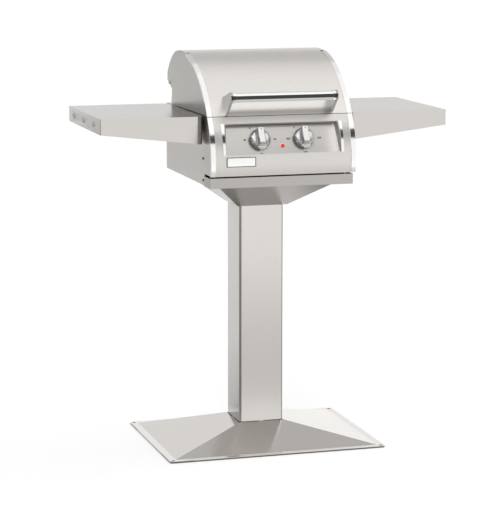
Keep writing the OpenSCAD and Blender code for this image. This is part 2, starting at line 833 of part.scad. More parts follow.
module side_screws() color(dark) both_sides() for (up = side_screw_zs)
  translate([half_w, side_screw_in - seam_y, body_z + up]) rotate([0, 90, 0]) {
    translate([0, 0, -3 * wall_t]) cylinder(h = 3 * wall_t, r = screw_r);
    cylinder(h = screw_head_h, r = screw_head_r);
  }

// Lid: all that lies inside its curve, at a given depth under the skin's outer face
module lid_fill(d) {
  ray = reach * turn_out;
  side = reach * [cos(rear_turn), -sin(rear_turn)];
  intersection() {
    translate(lid_c) circle(lid_r - d, $fn = 180);
    polygon([lid_c, lid_c + ray, lid_c + ray - side, lid_c - ray - side, lid_c - ray]);
  }
  intersection() {
    translate(rear_c) circle(rear_r - d, $fn = 180);
    polygon([lid_c, lid_c + ray, lid_c + ray + side, lid_c + side]);
    translate([lid_c.x - reach, lid_c.y]) square([reach + back_y - d - lid_c.x, reach]);
  }
  polygon([lid_c, rear_c, [back_y - d, back_top.y - 2 * max(d, 0)], [back_y - d, deck_z]]);
}

module lid_band(d0, d1, y1) intersection() {
  difference() {
    lid_fill(d0);
    lid_fill(d1);
  }
  union() {
    translate([-reach, deck_z + lid_seam]) square([reach + min(y1, lid_c.x), reach]);
    if (y1 > lid_c.x) translate([0, heel_z]) square([y1, reach]);
  }
}

module lid_skin() color(steel) difference() {
  along_x(-half_w, half_w) lid_band(0, wall_t, reach);
  both_sides() for (a = arm_screw_angles) translate([(bar_len + arm_t) / 2, lid_c.x, lid_c.y]) rotate([90 - a, 0, 0])
    translate([0, 0, lid_r - 2 * wall_t]) cylinder(h = 3 * wall_t, r = screw_r + slip);
}

module lid_side() {
  z0 = deck_z + lid_seat;
  difference() {
    along_x(in_w, half_w) intersection() {
      lid_fill(wall_t);
      polygon([[-reach, z0], [back_y - rear_foot_in, z0], [back_y - notch_in, deck_z + notch_h],
        [back_y, heel_z], [back_y, heel_z + reach], [-reach, heel_z + reach]]);
    }
    translate([in_w - over, pivot.x, pivot.y]) rotate([0, 90, 0])
      cylinder(h = wall_t + 2 * over, r = pivot_r + run_fit);
  }
}

module lid_side_left() color(steel) mirror([1, 0, 0]) lid_side();

module lid_side_right() color(steel) lid_side();

module lid_rear_panel() {
  foot = [back_y - rear_foot_in - wall_t, deck_z + lid_seat];
  notch = [back_y - notch_in, deck_z + notch_h];
  heel = [back_y - wall_t, heel_z];
  color(steel) {
    along_x(-rear_panel_w, rear_panel_w) polygon([foot, foot + [wall_t, 0], notch + [wall_t, 0],
      heel, heel + [0, wall_t], notch + [0, wall_t], notch]);
    both_sides() along_x(rear_panel_w, in_w) polygon([foot, foot + [wall_t, 0], notch + [wall_t, 0], notch]);
  }
}

module lid_trim() {
  along_x(half_w + trim_side - trim_w, half_w) lid_band(-trim_t, 0, -trim_end);
  along_x(half_w, half_w + trim_side) lid_band(-trim_t, trim_edge, -trim_end);
}

module lid_trim_left() color(bright) mirror([1, 0, 0]) lid_trim();

module lid_trim_right() color(bright) lid_trim();

module trim_end_clips() {
  clip_len = 7;
  color(dark) both_sides() intersection() {
    along_x(half_w + trim_side - trim_w, half_w) lid_band(-trim_t, 0, clip_len - trim_end);
    block([0, -trim_end, deck_z], [half_w, clip_len - trim_end, deck_z + reach]);
  }
}

// Handle: the bar's axis stands off the lid's skin
bar_axis = lid_c + (lid_r + bar_off) * [-cos(bar_angle), sin(bar_angle)];
arm_top = 41.9;
arm_low = 32;
arm_screw_angles = [34.5, 39];
arm_screw_len = 9;
nose_from = 100;
nose_to = 205;

module handle_bar() color(bright)
  rod([-bar_len / 2, bar_axis.x, bar_axis.y], [bar_len / 2, bar_axis.x, bar_axis.y], bar_r);

module handle_collars() color(bright) both_sides()
  translate([bar_len / 2 - collar_w, bar_axis.x, bar_axis.y]) rotate([0, 90, 0]) difference() {
    cylinder(h = collar_w, r = arm_nose_r);
    translate([0, 0, -over]) cylinder(h = collar_w + 2 * over, r = bar_r + run_fit);
  }

module handle_arms() {
  x0 = bar_len / 2;
  foot_r = lid_r - over;
  top = lid_c + foot_r * [-cos(arm_top), sin(arm_top)];
  low = lid_c + foot_r * [-cos(arm_low), sin(arm_low)];
  color(bright) both_sides() difference() {
    along_x(x0, x0 + arm_t) difference() {
      union() {
        translate(bar_axis) circle(arm_nose_r);
        polygon([bar_axis, bar_axis + arm_nose_r * [cos(nose_from), sin(nose_from)], top, low,
          bar_axis + arm_nose_r * [cos(nose_to), sin(nose_to)]]);
      }
      translate(lid_c) circle(lid_r, $fn = 180);
    }
    for (a = arm_screw_angles) translate([x0 + arm_t / 2, lid_c.x, lid_c.y]) rotate([90 - a, 0, 0])
      translate([0, 0, lid_r - over]) cylinder(h = arm_screw_len + over, r = screw_r + run_fit);
  }
}

module handle_screws() color(bright) both_sides() for (a = arm_screw_angles)
  translate([bar_len / 2 + arm_t / 2, lid_c.x, lid_c.y]) rotate([90 - a, 0, 0]) {
    translate([0, 0, lid_r - wall_t - screw_head_h]) cylinder(h = screw_head_h, r = screw_head_r);
    translate([0, 0, lid_r - wall_t]) cylinder(h = wall_t + arm_screw_len, r = screw_r);
  }

// Lid hinge: ears on the deck, with bolts that the lid's sides turn on
module hinge_ears() {
  x1 = half_w - ear_in;
  x0 = x1 - ear_t;
  y0 = pivot.x - ear_fore;
  y1 = pivot.x + ear_aft;
  color(steel) both_sides() difference() {
    union() {
      along_x(x0, x1) {
        translate([y0, deck_z]) square([y1 - y0, pivot.y - deck_z - ear_nose_r]);
        polygon([[y0, pivot.y - ear_nose_r], [y1, pivot.y - ear_nose_r],
          pivot + ear_nose_r * [1, 0], pivot - ear_nose_r * [1, 0]]);
        translate(pivot) circle(ear_nose_r);
      }
      block([x1 - ear_foot_w, y0 + ear_foot_inset, deck_z], [x1, y1, deck_z + ear_t]);
      translate([x1, pivot.x, pivot.y]) rotate([0, 90, 0])
        cylinder(h = ear_in - wall_t - slip, r = pivot_r + ear_t);
    }
    translate([x0 - over, pivot.x, pivot.y]) rotate([0, 90, 0])
      cylinder(h = ear_in + ear_t + 2 * over, r = pivot_r);
  }
}

module pivot_bolts() {
  x0 = half_w - ear_in - ear_t;
  nut_h = 5;
  color(bright) both_sides() translate([0, pivot.x, pivot.y]) rotate([0, 90, 0]) {
    translate([0, 0, x0 - nut_h - over]) cylinder(h = half_w + slip + nut_h + over - x0, r = pivot_r);
    translate([0, 0, half_w + slip]) cylinder(h = pivot_head_h, r = pivot_head_r);
    translate([0, 0, x0 - nut_h]) cylinder(h = nut_h, r = 1.75 * pivot_r, $fn = 6);
  }
}

// Shelves: drawn on the right, and mirrored for the left
module shelf_plan(d) {
  x0 = shelf_x0 + d;
  x1 = shelf_x1 - d;
  y0 = d - shelf_front;
  y1 = shelf_y1 - d;
  ri = shelf_in_r - d;
  ro = shelf_out_r - d;
  translate([x0 + ri, y0]) square([x1 - x0 - ri - ro, y1 - y0]);
  translate([x0, y0 + ri]) square([ri, y1 - y0 - 2 * ri]);
  translate([x1 - ro, y0 + ro]) square([ro, y1 - y0 - 2 * ro]);
  for (y = [y0 + ri, y1 - ri]) translate([x0 + ri, y]) circle(ri);
  for (y = [y0 + ro, y1 - ro]) translate([x1 - ro, y]) circle(ro);
}

module shelf() {
  x_in = shelf_x0 - over;
  x_out = shelf_x1 + over;
  low = deck_z - skirt_in;
  end_z = deck_z - skirt_out + hook_lift;
  difference() {
    union() {
      difference() {
        translate([0, 0, low - over]) linear_extrude(height = skirt_in + over) shelf_plan(0);
        translate([0, 0, low - 2 * over]) linear_extrude(height = skirt_in + 2 * over - shelf_t) shelf_plan(shelf_t);
        along_y(-shelf_front - over, shelf_y1 + over) polygon([[x_in, low], [x_out, deck_z - skirt_out],
          [x_out, low - 2 * over], [x_in, low - 2 * over]]);
        block([x_in, -rib_at - 1.5 * bracket_w, low - over],
          [shelf_x0 + shelf_t + over, rib_at + 1.5 * bracket_w, deck_z - end_wall_h]);
      }
      for (i = [-1:1]) translate([0, i * hook_pitch + hook_shift - shelf_front + shelf_d / 2, end_z])
        tool_hook();
    }
    for (i = [-1:1]) translate([0, i * hook_pitch + hook_shift - shelf_front + shelf_d / 2, end_z])
      block([shelf_x1 - shelf_t - over, -hook_w / 2, shelf_t - hook_h / 2],
        [shelf_x1, hook_w / 2, hook_h / 2]);
  }
}

// A tongue cut out of the end skirt and bent outwards
module tool_hook() along_y(-hook_w / 2 + slip, hook_w / 2 - slip) polygon([
  [shelf_x1 - shelf_t, -hook_h / 2], [shelf_x1, -hook_h / 2], [shelf_x1 + hook_out, shelf_t - hook_h / 4],
  [shelf_x1 + hook_out, hook_h / 4], [shelf_x1 + hook_out - shelf_t, hook_h / 4],
  [shelf_x1 + hook_out - shelf_t, shelf_t - hook_h / 5], [shelf_x1, shelf_t - hook_h / 2],
  [shelf_x1 - shelf_t, shelf_t - hook_h / 2]]);

module shelf_left() color(steel) mirror([1, 0, 0]) shelf();

module shelf_right() color(steel) shelf();

module shelf_ribs() {
  top = deck_z - shelf_t;
  x0 = shelf_x0 + shelf_t + slip;
  x1 = shelf_x1 - rib_end_gap;
  for (y = [-rib_at, rib_at]) difference() {
    along_y(y - rib_t / 2, y + rib_t / 2) {
      polygon([[x0, top], [x1, top], [x1, top - rib_h / 2], [hinge_x + 3 * rib_lug_r, top - rib_h],
        [hinge_x + rib_lug_r, hinge_z], [hinge_x - rib_lug_r, hinge_z],
        [hinge_x - rib_lug_r, hinge_z + rib_lug_r / 2], [x0, hinge_z + rib_lug_r]]);
      translate([hinge_x, hinge_z]) circle(rib_lug_r);
    }
    translate([hinge_x, y + rib_t, hinge_z]) rotate([90, 0, 0])
      cylinder(h = 2 * rib_t, r = hinge_pin_r + run_fit);
  }
}

module shelf_ribs_left() color(steel) mirror([1, 0, 0]) shelf_ribs();

module shelf_ribs_right() color(steel) shelf_ribs();

// Each bracket is a plate on the side wall with one ear beside the shelf's rib
module shelf_brackets() {
  y_ear = rib_t / 2 + slip;
  color(steel) both_sides() for (y = [-rib_at, rib_at]) difference() {
    union() {
      block([half_w, y - bracket_w, hinge_z - rib_lug_r], [half_w + bracket_t, y + bracket_w, hinge_z + bracket_h - rib_lug_r]);
      for (s = [-1, 1]) along_y(y + s * (y_ear + rib_t / 2) - rib_t / 2, y + s * (y_ear + rib_t / 2) + rib_t / 2) {
        translate([half_w, hinge_z - rib_lug_r]) square([hinge_x - half_w, 2 * rib_lug_r]);
        translate([hinge_x, hinge_z]) circle(rib_lug_r);
      }
    }
    translate([hinge_x, y + 3 * rib_t, hinge_z]) rotate([90, 0, 0])
      cylinder(h = 6 * rib_t, r = hinge_pin_r);
  }
}

module shelf_pins() {
  out = 1.5 * rib_t + slip;
  head_h = 3;
  color(bright) both_sides() for (y = [-rib_at, rib_at]) translate([hinge_x, y, hinge_z]) rotate([90, 0, 0]) {
    translate([0, 0, -out]) cylinder(h = 2 * out, r = hinge_pin_r);
    for (z = [-out - head_h, out]) translate([0, 0, z]) cylinder(h = head_h, r = 1.5 * hinge_pin_r);
  }
}

// Drip tray
module drip_tray() {
  y0 = fascia_y + wall_t;
  color(steel) difference() {
    union() {
      block([-pan_w, y0, pan_z], [pan_w, pan_y1, pan_top]);
      block([-pan_w - pan_flange, -seam_y + over, pan_top - pan_t], [pan_w + pan_flange, pan_y1, pan_top]);
    }
    block([pan_t - pan_w, y0 + pan_t, pan_z + pan_t], [pan_w - pan_t, pan_y1 - pan_t, pan_top + over]);
  }
}

module tray_fascia() {
  z1 = fascia_z + fascia_h;
  color(steel) {
    block([-fascia_w, fascia_y, fascia_z], [fascia_w, fascia_y + wall_t, z1]);
    both_sides() block([fascia_w - wall_t, fascia_y, fascia_z], [fascia_w, -seam_y - slip, z1]);
    block([-fascia_w, fascia_y, fascia_z], [fascia_w, fascia_y + fascia_lip, fascia_z + wall_t]);
  }
}

module tray_runners() {
  z1 = pan_top - pan_t - slip;
  color(steel) both_sides() difference() {
    union() {
      block([in_w - runner_w, -seam_y, z1 - wall_t], [in_w, pan_y1, z1]);
      block([in_w - wall_t, -seam_y, floor_top + over], [in_w, pan_y1, z1]);
    }
    translate([in_w - wall_t - over, side_screw_in - seam_y, body_z + side_screw_zs[1]])
      rotate([0, 90, 0]) cylinder(h = wall_t + 2 * over, r = screw_r + slip);
  }
}

base_plate();
base_cover();
foot_flange();
foot_studs();
post_tube();
head_plate();
head_bolts();
hopper();
body_floor();
body_side_left();
body_side_right();
body_rear();
liner();
reflector();
grate_rails();
grate_left();
grate_right();
heating_element();
element_supports();
terminal_box();
thermostat_probe();
wire_loom();
inlet_gland();
front_panel();
panel_trim_left();
panel_trim_right();
recess_frame();
recess_strips();
control_plate();
name_plate();
indicator_lamp();
timer_body();
timer_shaft();
timer_knob();
thermostat_body();
thermostat_shaft();
thermostat_knob();
side_screws();
lid_skin();
lid_side_left();
lid_side_right();
lid_rear_panel();
lid_trim_left();
lid_trim_right();
trim_end_clips();
handle_bar();
handle_collars();
handle_arms();
handle_screws();
hinge_ears();
pivot_bolts();
shelf_left();
shelf_right();
shelf_ribs_left();
shelf_ribs_right();
shelf_brackets();
shelf_pins();
drip_tray();
tray_fascia();
tray_runners();
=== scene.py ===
"""The looks of an electric pedestal grill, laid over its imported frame."""

import json
import math

import bmesh
import bpy
from mathutils import Matrix, Vector


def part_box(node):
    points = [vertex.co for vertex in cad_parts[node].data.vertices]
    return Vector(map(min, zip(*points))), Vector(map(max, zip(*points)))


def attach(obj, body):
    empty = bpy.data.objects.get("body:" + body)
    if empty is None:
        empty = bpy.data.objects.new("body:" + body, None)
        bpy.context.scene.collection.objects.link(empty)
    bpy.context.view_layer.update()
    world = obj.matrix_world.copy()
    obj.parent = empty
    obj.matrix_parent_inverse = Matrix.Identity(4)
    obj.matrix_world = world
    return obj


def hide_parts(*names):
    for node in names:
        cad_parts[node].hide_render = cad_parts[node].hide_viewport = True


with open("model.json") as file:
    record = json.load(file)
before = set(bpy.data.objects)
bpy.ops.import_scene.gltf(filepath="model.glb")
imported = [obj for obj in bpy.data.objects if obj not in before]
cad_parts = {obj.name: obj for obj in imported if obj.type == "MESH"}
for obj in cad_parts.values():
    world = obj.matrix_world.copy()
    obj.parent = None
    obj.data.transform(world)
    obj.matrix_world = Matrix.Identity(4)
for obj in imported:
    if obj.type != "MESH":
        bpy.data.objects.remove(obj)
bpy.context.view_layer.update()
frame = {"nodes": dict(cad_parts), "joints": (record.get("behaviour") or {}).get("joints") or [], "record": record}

bl_info = {
    "name": "Pedestal grill looks",
    "version": (1, 0, 0),
    "blender": (4, 5, 0),
    "location": "3D View > Sidebar > Grill",
    "description": "Finishes, knobs, dials, lamp, fasteners and stage of an electric pedestal grill",
    "category": "Object",
}

NODES = frame["nodes"]
BODY_OF = {node: body for body, nodes in frame["record"]["behaviour"]["bodies"].items() for node in nodes}
SLOT_OF = {part["node"]: part["material_slot"] for part in frame["record"]["subparts"]}
JOINTS = {joint["name"]: joint for joint in frame["joints"]}

# The control plate: its tilt, the knob axes that the joints give, and its face's edges from its middle
PLATE_TURN = Matrix.Rotation(math.radians(65), 4, "X")
TIMER_AT = Vector(JOINTS["timer_turn"]["pos_m"])
THERMOSTAT_AT = Vector(JOINTS["thermostat_turn"]["pos_m"])
PLATE_MIDDLE = (TIMER_AT + THERMOSTAT_AT) / 2
PLATE_FOOT, PLATE_HEAD, PLATE_HALF = -0.0415, 0.0415, 0.1605
LAMP_OVER_FOOT = 0.0233
INK = 0.00015

# The knobs: the disc stands a gap off the plate, and the grip over it slopes down from low to high
KNOB_RADIUS, KNOB_GAP, KNOB_DISC, KNOB_GRIP = 0.0295, 0.002, 0.009, 0.018
DISC_TOP = KNOB_GAP + KNOB_DISC
GRIP_LOW, GRIP_HIGH = -0.7 * KNOB_RADIUS, 0.968 * KNOB_RADIUS
GRIP_BASE, GRIP_TOP, GRIP_FALL = DISC_TOP - 0.0009, DISC_TOP + KNOB_GRIP, 0.005
GRIP_STEPS = 24
GRIP_LEVELS = (0, 0.08, 0.18, 0.3, 0.45, 0.62, 0.8, 0.93, 0.965, 0.99, 1.0)

# The dials: ticks and numbers stand at these turns, in degrees
FIRST_TICK, TICK_PITCH, TICKS = 120, 10, 31
NUMBERS_AT = (126, 0, 270, 180)

# The base: half the post, how far its hips run along X for each step along Y, and the heights at
# which the plate's cut edge, which carries painted shade, ends and the cover begins
POST_HALF, HIP_RUN = 0.0635, 1.49
CUT_EDGE_TOP, COVER_FOOT = (0.0040, 0.0046), (0.0051, 0.0054)
HEATER_HEIGHT, HEAT_REACH = 0.885, 0.05

CAMERA_AT = (-1.714576, -5.654097, 1.510463)
CAMERA_WAY = (0.28037, 0.94480, -0.16957)
LAMP_SIZE = 2.4

# Cards that only reflections see: turns from the front and heights in degrees, the level or the
# setting that holds it, and the distance
CARDS = (
    ("dark_front", (-110, 70), (25, 36.7), "dark", 1.65),
    ("dim_left", (-158, -22), (0, 18), "dim", 9.0),
    ("dim_right", (60, 136), (0, 18), "dim", 9.0),
    ("dim_rear", (140, 240), (21, 52), "rear", 9.0),
    ("high_rear", (110, 200), (52, 66), 0.86, 9.0),
    ("low_rear", (186, 216), (0, 20), 0.3, 9.0),
    ("soft_rear", (130, 186), (3, 19), 0.86, 9.0),
    ("bright_rear", (138, 186), (-4, 2.6), 1.17, 9.0),
    ("bright_front", (-8, 60), (39, 64), "bright", 9.0),
)
CARD_MIDDLE = Vector((0, 0, 0.7))
CARD_ROWS, CARD_COLUMNS = 12, 32

# Sheets on the floor for reflections: turns in degrees, inner and outer radius, and the level
FLOOR_SHEETS = (
    ("dim_floor", (-154, -12), (0.34, 9.0), "dim"),
    ("dim_floor_right", (60, 138), (0.34, 9.0), "dim"),
    ("floor_left", (190, 208), (1.3, 5.2), 0.76),
    ("floor_left_far", (190, 208), (5.2, 50.0), 0.58),
    ("floor_left_near", (190, 208), (0.3, 1.3), 0.68),
    ("floor_in_front", (-12, 60), (0.5, 2.4), 0.7),
)
FLOOR_SHEET_HEIGHT = 0.004


class GrillSizes(bpy.types.PropertyGroup):
    """Sizes of the pieces that the looks add"""

    sheet_edge: bpy.props.FloatProperty(
        name="Sheet edge", description="Radius of the broken edges of the sheet parts",
        default=0.0004, min=0.0001, max=0.002, unit="LENGTH")
    fold_edge: bpy.props.FloatProperty(
        name="Fold edge", description="Outer radius of a folded sheet's corners",
        default=0.0014, min=0.0002, max=0.004, unit="LENGTH")
    knob_edge: bpy.props.FloatProperty(
        name="Knob edge", description="Radius of the knobs' edges",
        default=0.0012, min=0.0002, max=0.003, unit="LENGTH")
    lip_radius: bpy.props.FloatProperty(
        name="Lip radius", description="Radius of the rolled lip over the control recess",
        default=0.0026, min=0.001, max=0.006, unit="LENGTH")
    # The name plate's dark border is a painted shadow round the plate.
    border_width: bpy.props.FloatProperty(
        name="Border width", description="Width of the name plate's dark border",
        default=0.0013, min=0.0003, max=0.004, unit="LENGTH")
    digit_height: bpy.props.FloatProperty(
        name="Digit height", description="Height of the dials' numbers",
        default=0.0056, min=0.003, max=0.012, unit="LENGTH")
    dial_radius: bpy.props.FloatProperty(
        name="Dial radius", description="Radius of the ring of ticks round a knob",
        default=0.0335, min=0.030, max=0.040, unit="LENGTH")
    screw_radius: bpy.props.FloatProperty(
        name="Screw head radius", description="Radius of the side screws' heads",
        default=0.0035, min=0.002, max=0.006, unit="LENGTH")
    rivet_radius: bpy.props.FloatProperty(
        name="Rivet radius", description="Radius of the rivet heads over the tray's fascia",
        default=0.0022, min=0.001, max=0.004, unit="LENGTH")
    rivet_pitch: bpy.props.FloatProperty(
        name="Rivet pitch", description="Distance between two rivets",
        default=0.0165, min=0.008, max=0.04, unit="LENGTH")
    joint_width: bpy.props.FloatProperty(
        name="Foot joint", description="Height of the dark joint round the post's foot",
        default=0.0016, min=0.0005, max=0.004, unit="LENGTH")
    weld_radius: bpy.props.FloatProperty(
        name="Weld bead radius", description="Radius of one drop of a weld",
        default=0.0016, min=0.0008, max=0.004, unit="LENGTH")


class GrillColours(bpy.types.PropertyGroup):
    """Colours of the finishes"""

    panel: bpy.props.FloatVectorProperty(
        name="Panel steel", description="Brushed steel of lid, panel, post and shelves",
        subtype="COLOR", default=(0.725, 0.695, 0.665), size=3)
    body: bpy.props.FloatVectorProperty(
        name="Body steel", description="Brushed steel of the body and the lid's sides",
        subtype="COLOR", default=(0.545, 0.522, 0.498), size=3)
    base: bpy.props.FloatVectorProperty(
        name="Base steel", description="Brushed steel of the base and the hopper",
        subtype="COLOR", default=(0.70, 0.67, 0.64), size=3)
    polish: bpy.props.FloatVectorProperty(
        name="Polished steel", description="Polished trims and handle",
        subtype="COLOR", default=(0.93, 0.925, 0.915), size=3)
    lamp: bpy.props.FloatVectorProperty(
        name="Lamp", description="Red lens of the lamp",
        subtype="COLOR", default=(0.80, 0.02, 0.01), size=3)


class StageSettings(bpy.types.PropertyGroup):
    """Light and camera"""

    sky: bpy.props.FloatProperty(
        name="Sky", description="Level of the soft light from all round", default=0.62, min=0, max=2)
    key: bpy.props.FloatProperty(
        name="Key", description="Power of the lamp on the left", default=24.0, min=0, max=2000, unit="POWER")
    fill: bpy.props.FloatProperty(
        name="Fill", description="Power of the lamp on the right", default=21.0, min=0, max=2000, unit="POWER")
    dark: bpy.props.FloatProperty(
        name="Dark card", description="Level of the card in front that the steel mirrors",
        default=0.05, min=0, max=2)
    bright: bpy.props.FloatProperty(
        name="Bright card", description="Level of the card high in front", default=1.15, min=0, max=3)
    strip: bpy.props.FloatProperty(
        name="Handle strip", description="Level of the strip that the handle's bar mirrors",
        default=0.06, min=0, max=2)
    dim: bpy.props.FloatProperty(
        name="Side cards", description="Level of the cards on both sides", default=0.2, min=0, max=2)
    rear: bpy.props.FloatProperty(
        name="Rear card", description="Level of the wide card behind", default=0.6, min=0, max=2)
    lens: bpy.props.FloatProperty(
        name="Lens", description="Focal length in millimetres", default=143.635, min=20, max=400)


# Shader and geometry maths


class Socket:
    """A node's output that can be used in sums"""

    def __init__(self, graph, output):
        self.graph, self.output = graph, output

    def maths(self, operation, first, second=0.0):
        return self.graph.node("ShaderNodeMath", {"operation": operation}, {0: first, 1: second}).out(0)

    def __add__(self, other):
        return self.maths("ADD", self, other)

    def __sub__(self, other):
        return self.maths("SUBTRACT", self, other)

    def __rsub__(self, other):
        return self.maths("SUBTRACT", other, self)

    def __mul__(self, other):
        return self.maths("MULTIPLY", self, other)

    def __truediv__(self, other):
        return self.maths("DIVIDE", self, other)

    def __abs__(self):
        return self.maths("ABSOLUTE", self)

    __radd__ = __add__
    __rmul__ = __mul__

    def most(self, other):
        return self.maths("MAXIMUM", self, other)

    def between(self, low, high):
        """0 below low, 1 above high, and a smooth step between them"""
        return self.graph.node("ShaderNodeMapRange", {"interpolation_type": "SMOOTHSTEP"},
                               {"Value": self, "From Min": low, "From Max": high}).out("Result")


class Made:
    """A node that was added to a graph"""

    def __init__(self, graph, node):
        self.graph, self.node = graph, node

    def out(self, name):
        return Socket(self.graph, self.node.outputs[name])


class Graph:
    """A node tree, with one way to add a node"""

    def __init__(self, tree):
        self.tree = tree
        tree.nodes.clear()

    def node(self, kind, settings=None, values=None):
        """Adds a node: its settings first, then the values or links of its sockets"""
        made = self.tree.nodes.new(kind)
        for name, value in (settings or {}).items():
            setattr(made, name, value)
        for name, value in (values or {}).items():
            socket = made.inputs[name]
            for one in value if isinstance(value, list) else [value]:
                if isinstance(one, Socket):
                    self.tree.links.new(one.output, socket)
                else:
                    socket.default_value = one
        return Made(self, made)

    def place(self):
        return self.node("ShaderNodeTexCoord").out("Object")

    def axes(self):
        split = self.node("ShaderNodeSeparateXYZ", None, {0: self.place()})
        return split.out("X"), split.out("Y"), split.out("Z")

    def noise(self, scale, detail, roughness, stretch=(1, 1, 1)):
        spot = self.node("ShaderNodeMapping", None, {"Vector": self.place(), "Scale": stretch}).out(0)
        return self.node("ShaderNodeTexNoise", None,
                         {"Vector": spot, "Scale": scale, "Detail": detail, "Roughness": roughness}).out(0)

    def mix(self, share, first, second):
        return self.node("ShaderNodeMix", {"data_type": "RGBA"}, {0: share, 6: first, 7: second}).out(2)


def material(name):
    """A new material, and the graph that its nodes go into"""
    made = bpy.data.materials.new(name)
    made.use_nodes = True
    return made, Graph(made.node_tree)


def finish_surface(graph, base, metallic, roughness, height, strength, distance, **more):
    """Ends a material in one Principled surface with a bump"""
    bump = graph.node("ShaderNodeBump", None, {"Height": height, "Strength": strength, "Distance": distance})
    surface = graph.node("ShaderNodeBsdfPrincipled", None, {
        "Base Color": base, "Metallic": metallic, "Roughness": roughness, "Normal": bump.out(0), **more})
    graph.node("ShaderNodeOutputMaterial", None, {"Surface": surface.out(0)})


def shade(colour, share):
    """The colour made lighter or darker"""
    return tuple(min(1.0, channel * share) for channel in colour)


def tone(colour, share):
    """The shade as a colour socket takes it"""
    return (*shade(colour, share), 1)


# Finishes

# How far brush lines along an axis are drawn out
BRUSH_STRETCH = {"X": (0.012, 1, 1), "Y": (1, 0.012, 1), "Z": (1, 1, 0.012)}
STRAW = (0.36, 0.27, 0.17, 1)


def brushed(name, colour, along, rough, contrast=0.02, grain=0.008, tint=None):
    """Sheet steel with fine brush lines along one axis, broader bands, and faint cloudy handling marks"""
    made, graph = material(name)
    stretch = BRUSH_STRETCH[along]
    lines = graph.noise(1400, 2.0, 0.6, stretch)
    bands = graph.noise(150, 3.0, 0.6, stretch)
    clouds = graph.noise(6.0, 3.0, 0.55)
    smears = graph.noise(24.0, 1.0, 0.5, tuple(0.25 if s < 1 else 1 for s in stretch))
    share = (lines * 0.45 + bands * 0.2 + clouds * 0.35 - 0.5) * 1.6 + 0.5
    base = graph.mix(share, tone(colour, 1 - contrast), tone(colour, 1 + contrast))
    if tint:
        base = graph.mix(tint(graph, clouds), base, STRAW)
    roughness = rough + (lines - 0.5) * 0.01 + (smears - 0.5) * 0.04
    finish_surface(graph, base, 1.0, roughness, lines, grain, 0.0003)
    return made


def base_steel(name, colour, rough):
    """The base's steel: each slope brushed along its foot, with painted light in its colour: lighter side slopes,
    darker front and rear slopes as painted shade, a painted highlight on the flange and painted shade on the cut
    edge
    """
    made, graph = material(name)
    x, y, z = graph.axes()
    slope = ((abs(y) - POST_HALF) * HIP_RUN - abs(x) + POST_HALF).between(-0.0004, 0.0004)
    along_x, along_y = (graph.noise(900, 2.0, 0.6, BRUSH_STRETCH[axis]) for axis in "XY")
    lines = along_x * slope + along_y * (1 - slope)
    clouds = graph.noise(6.0, 3.0, 0.55)
    share = (lines * 0.6 + clouds * 0.4 - 0.5) * 1.6 + 0.5
    # Painted light: the side slopes get a lighter copy of the colour and the front and rear slopes a darker copy
    # (painted shade). The flange gets a much lighter copy (painted highlight), and the cut edge a near black one
    # (painted shade).
    sides, front, flange_painted_highlight, edge = (
        graph.mix(share, tone(colour, low), tone(colour, high))
        for low, high in ((1.035, 1.085), (0.94, 0.98), (1.28, 1.34), (0.16, 0.24)))
    cover = graph.mix(slope, sides, front)
    plate = graph.mix(z.between(*CUT_EDGE_TOP), edge, flange_painted_highlight)
    base = graph.mix(z.between(*COVER_FOOT), plate, cover)
    roughness = rough + (lines - 0.5) * 0.015 + (clouds - 0.5) * 0.05
    finish_surface(graph, base, 1.0, roughness, lines, 0.014, 0.0003)
    return made


def polished(name, colour, rough):
    """Bright steel with faint polishing marks and fingerprints"""
    made, graph = material(name)
    marks = graph.noise(420, 3.0, 0.65, (0.1, 1, 1))
    prints = graph.noise(34, 4.0, 0.6).between(0.52, 0.72)
    base = graph.mix(marks, tone(colour, 0.96), tone(colour, 1.03))
    finish_surface(graph, base, 1.0, prints * 0.06 + marks * 0.04 + rough, marks, 0.012, 0.0002)
    return made


def plate_steel(name, colour):
    """Hot rolled plate, ground in patches"""
    made, graph = material(name)
    patches = graph.noise(22, 5.0, 0.65)
    pits = graph.noise(520, 2.0, 0.7)
    base = graph.mix(patches, tone(colour, 0.8), tone(colour, 1.1))
    finish_surface(graph, base, 1.0, patches * 0.25 + 0.3, pits * 0.6 + patches * 0.4, 0.25, 0.0004)
    return made


def moulded(name, colour, rough):
    """Plastic with a fine moulded texture"""
    made, graph = material(name)
    speckle = graph.noise(900, 2.0, 0.6)
    wash = graph.noise(18, 3.0, 0.5)
    base = graph.mix(wash, tone(colour, 0.85), tone(colour, 1.2))
    finish_surface(graph, base, 0.0, rough + (speckle - 0.5) * 0.15, speckle, 0.2, 0.0003)
    return made


def lens_red(name, colour):
    """Clear red lens, lit from behind"""
    made, graph = material(name)
    facets = graph.noise(700, 1.0, 0.5)
    base = graph.mix(facets, tone(colour, 0.85), tone(colour, 1.15))
    glow = graph.mix(facets, (0.95, 0.03, 0.008, 1), (1.0, 0.06, 0.015, 1))
    finish_surface(graph, base, 0.0, facets * 0.08 + 0.2, facets, 0.1, 0.0002,
                   **{"Specular IOR Level": 0.2, "Emission Color": glow, "Emission Strength": 0.55})
    return made


def scaled_tube(name):
    """Heater tube with its dark oxide, browner and lighter in blotches"""
    made, graph = material(name)
    blotch = graph.noise(40, 5.0, 0.65)
    flakes = graph.noise(600, 3.0, 0.7)
    base = graph.mix(blotch.between(0.4, 0.7), (0.05, 0.047, 0.045, 1), (0.16, 0.12, 0.09, 1))
    finish_surface(graph, base, flakes * 0.4 + 0.4, flakes * 0.3 + 0.35, flakes, 0.3, 0.0004)
    return made


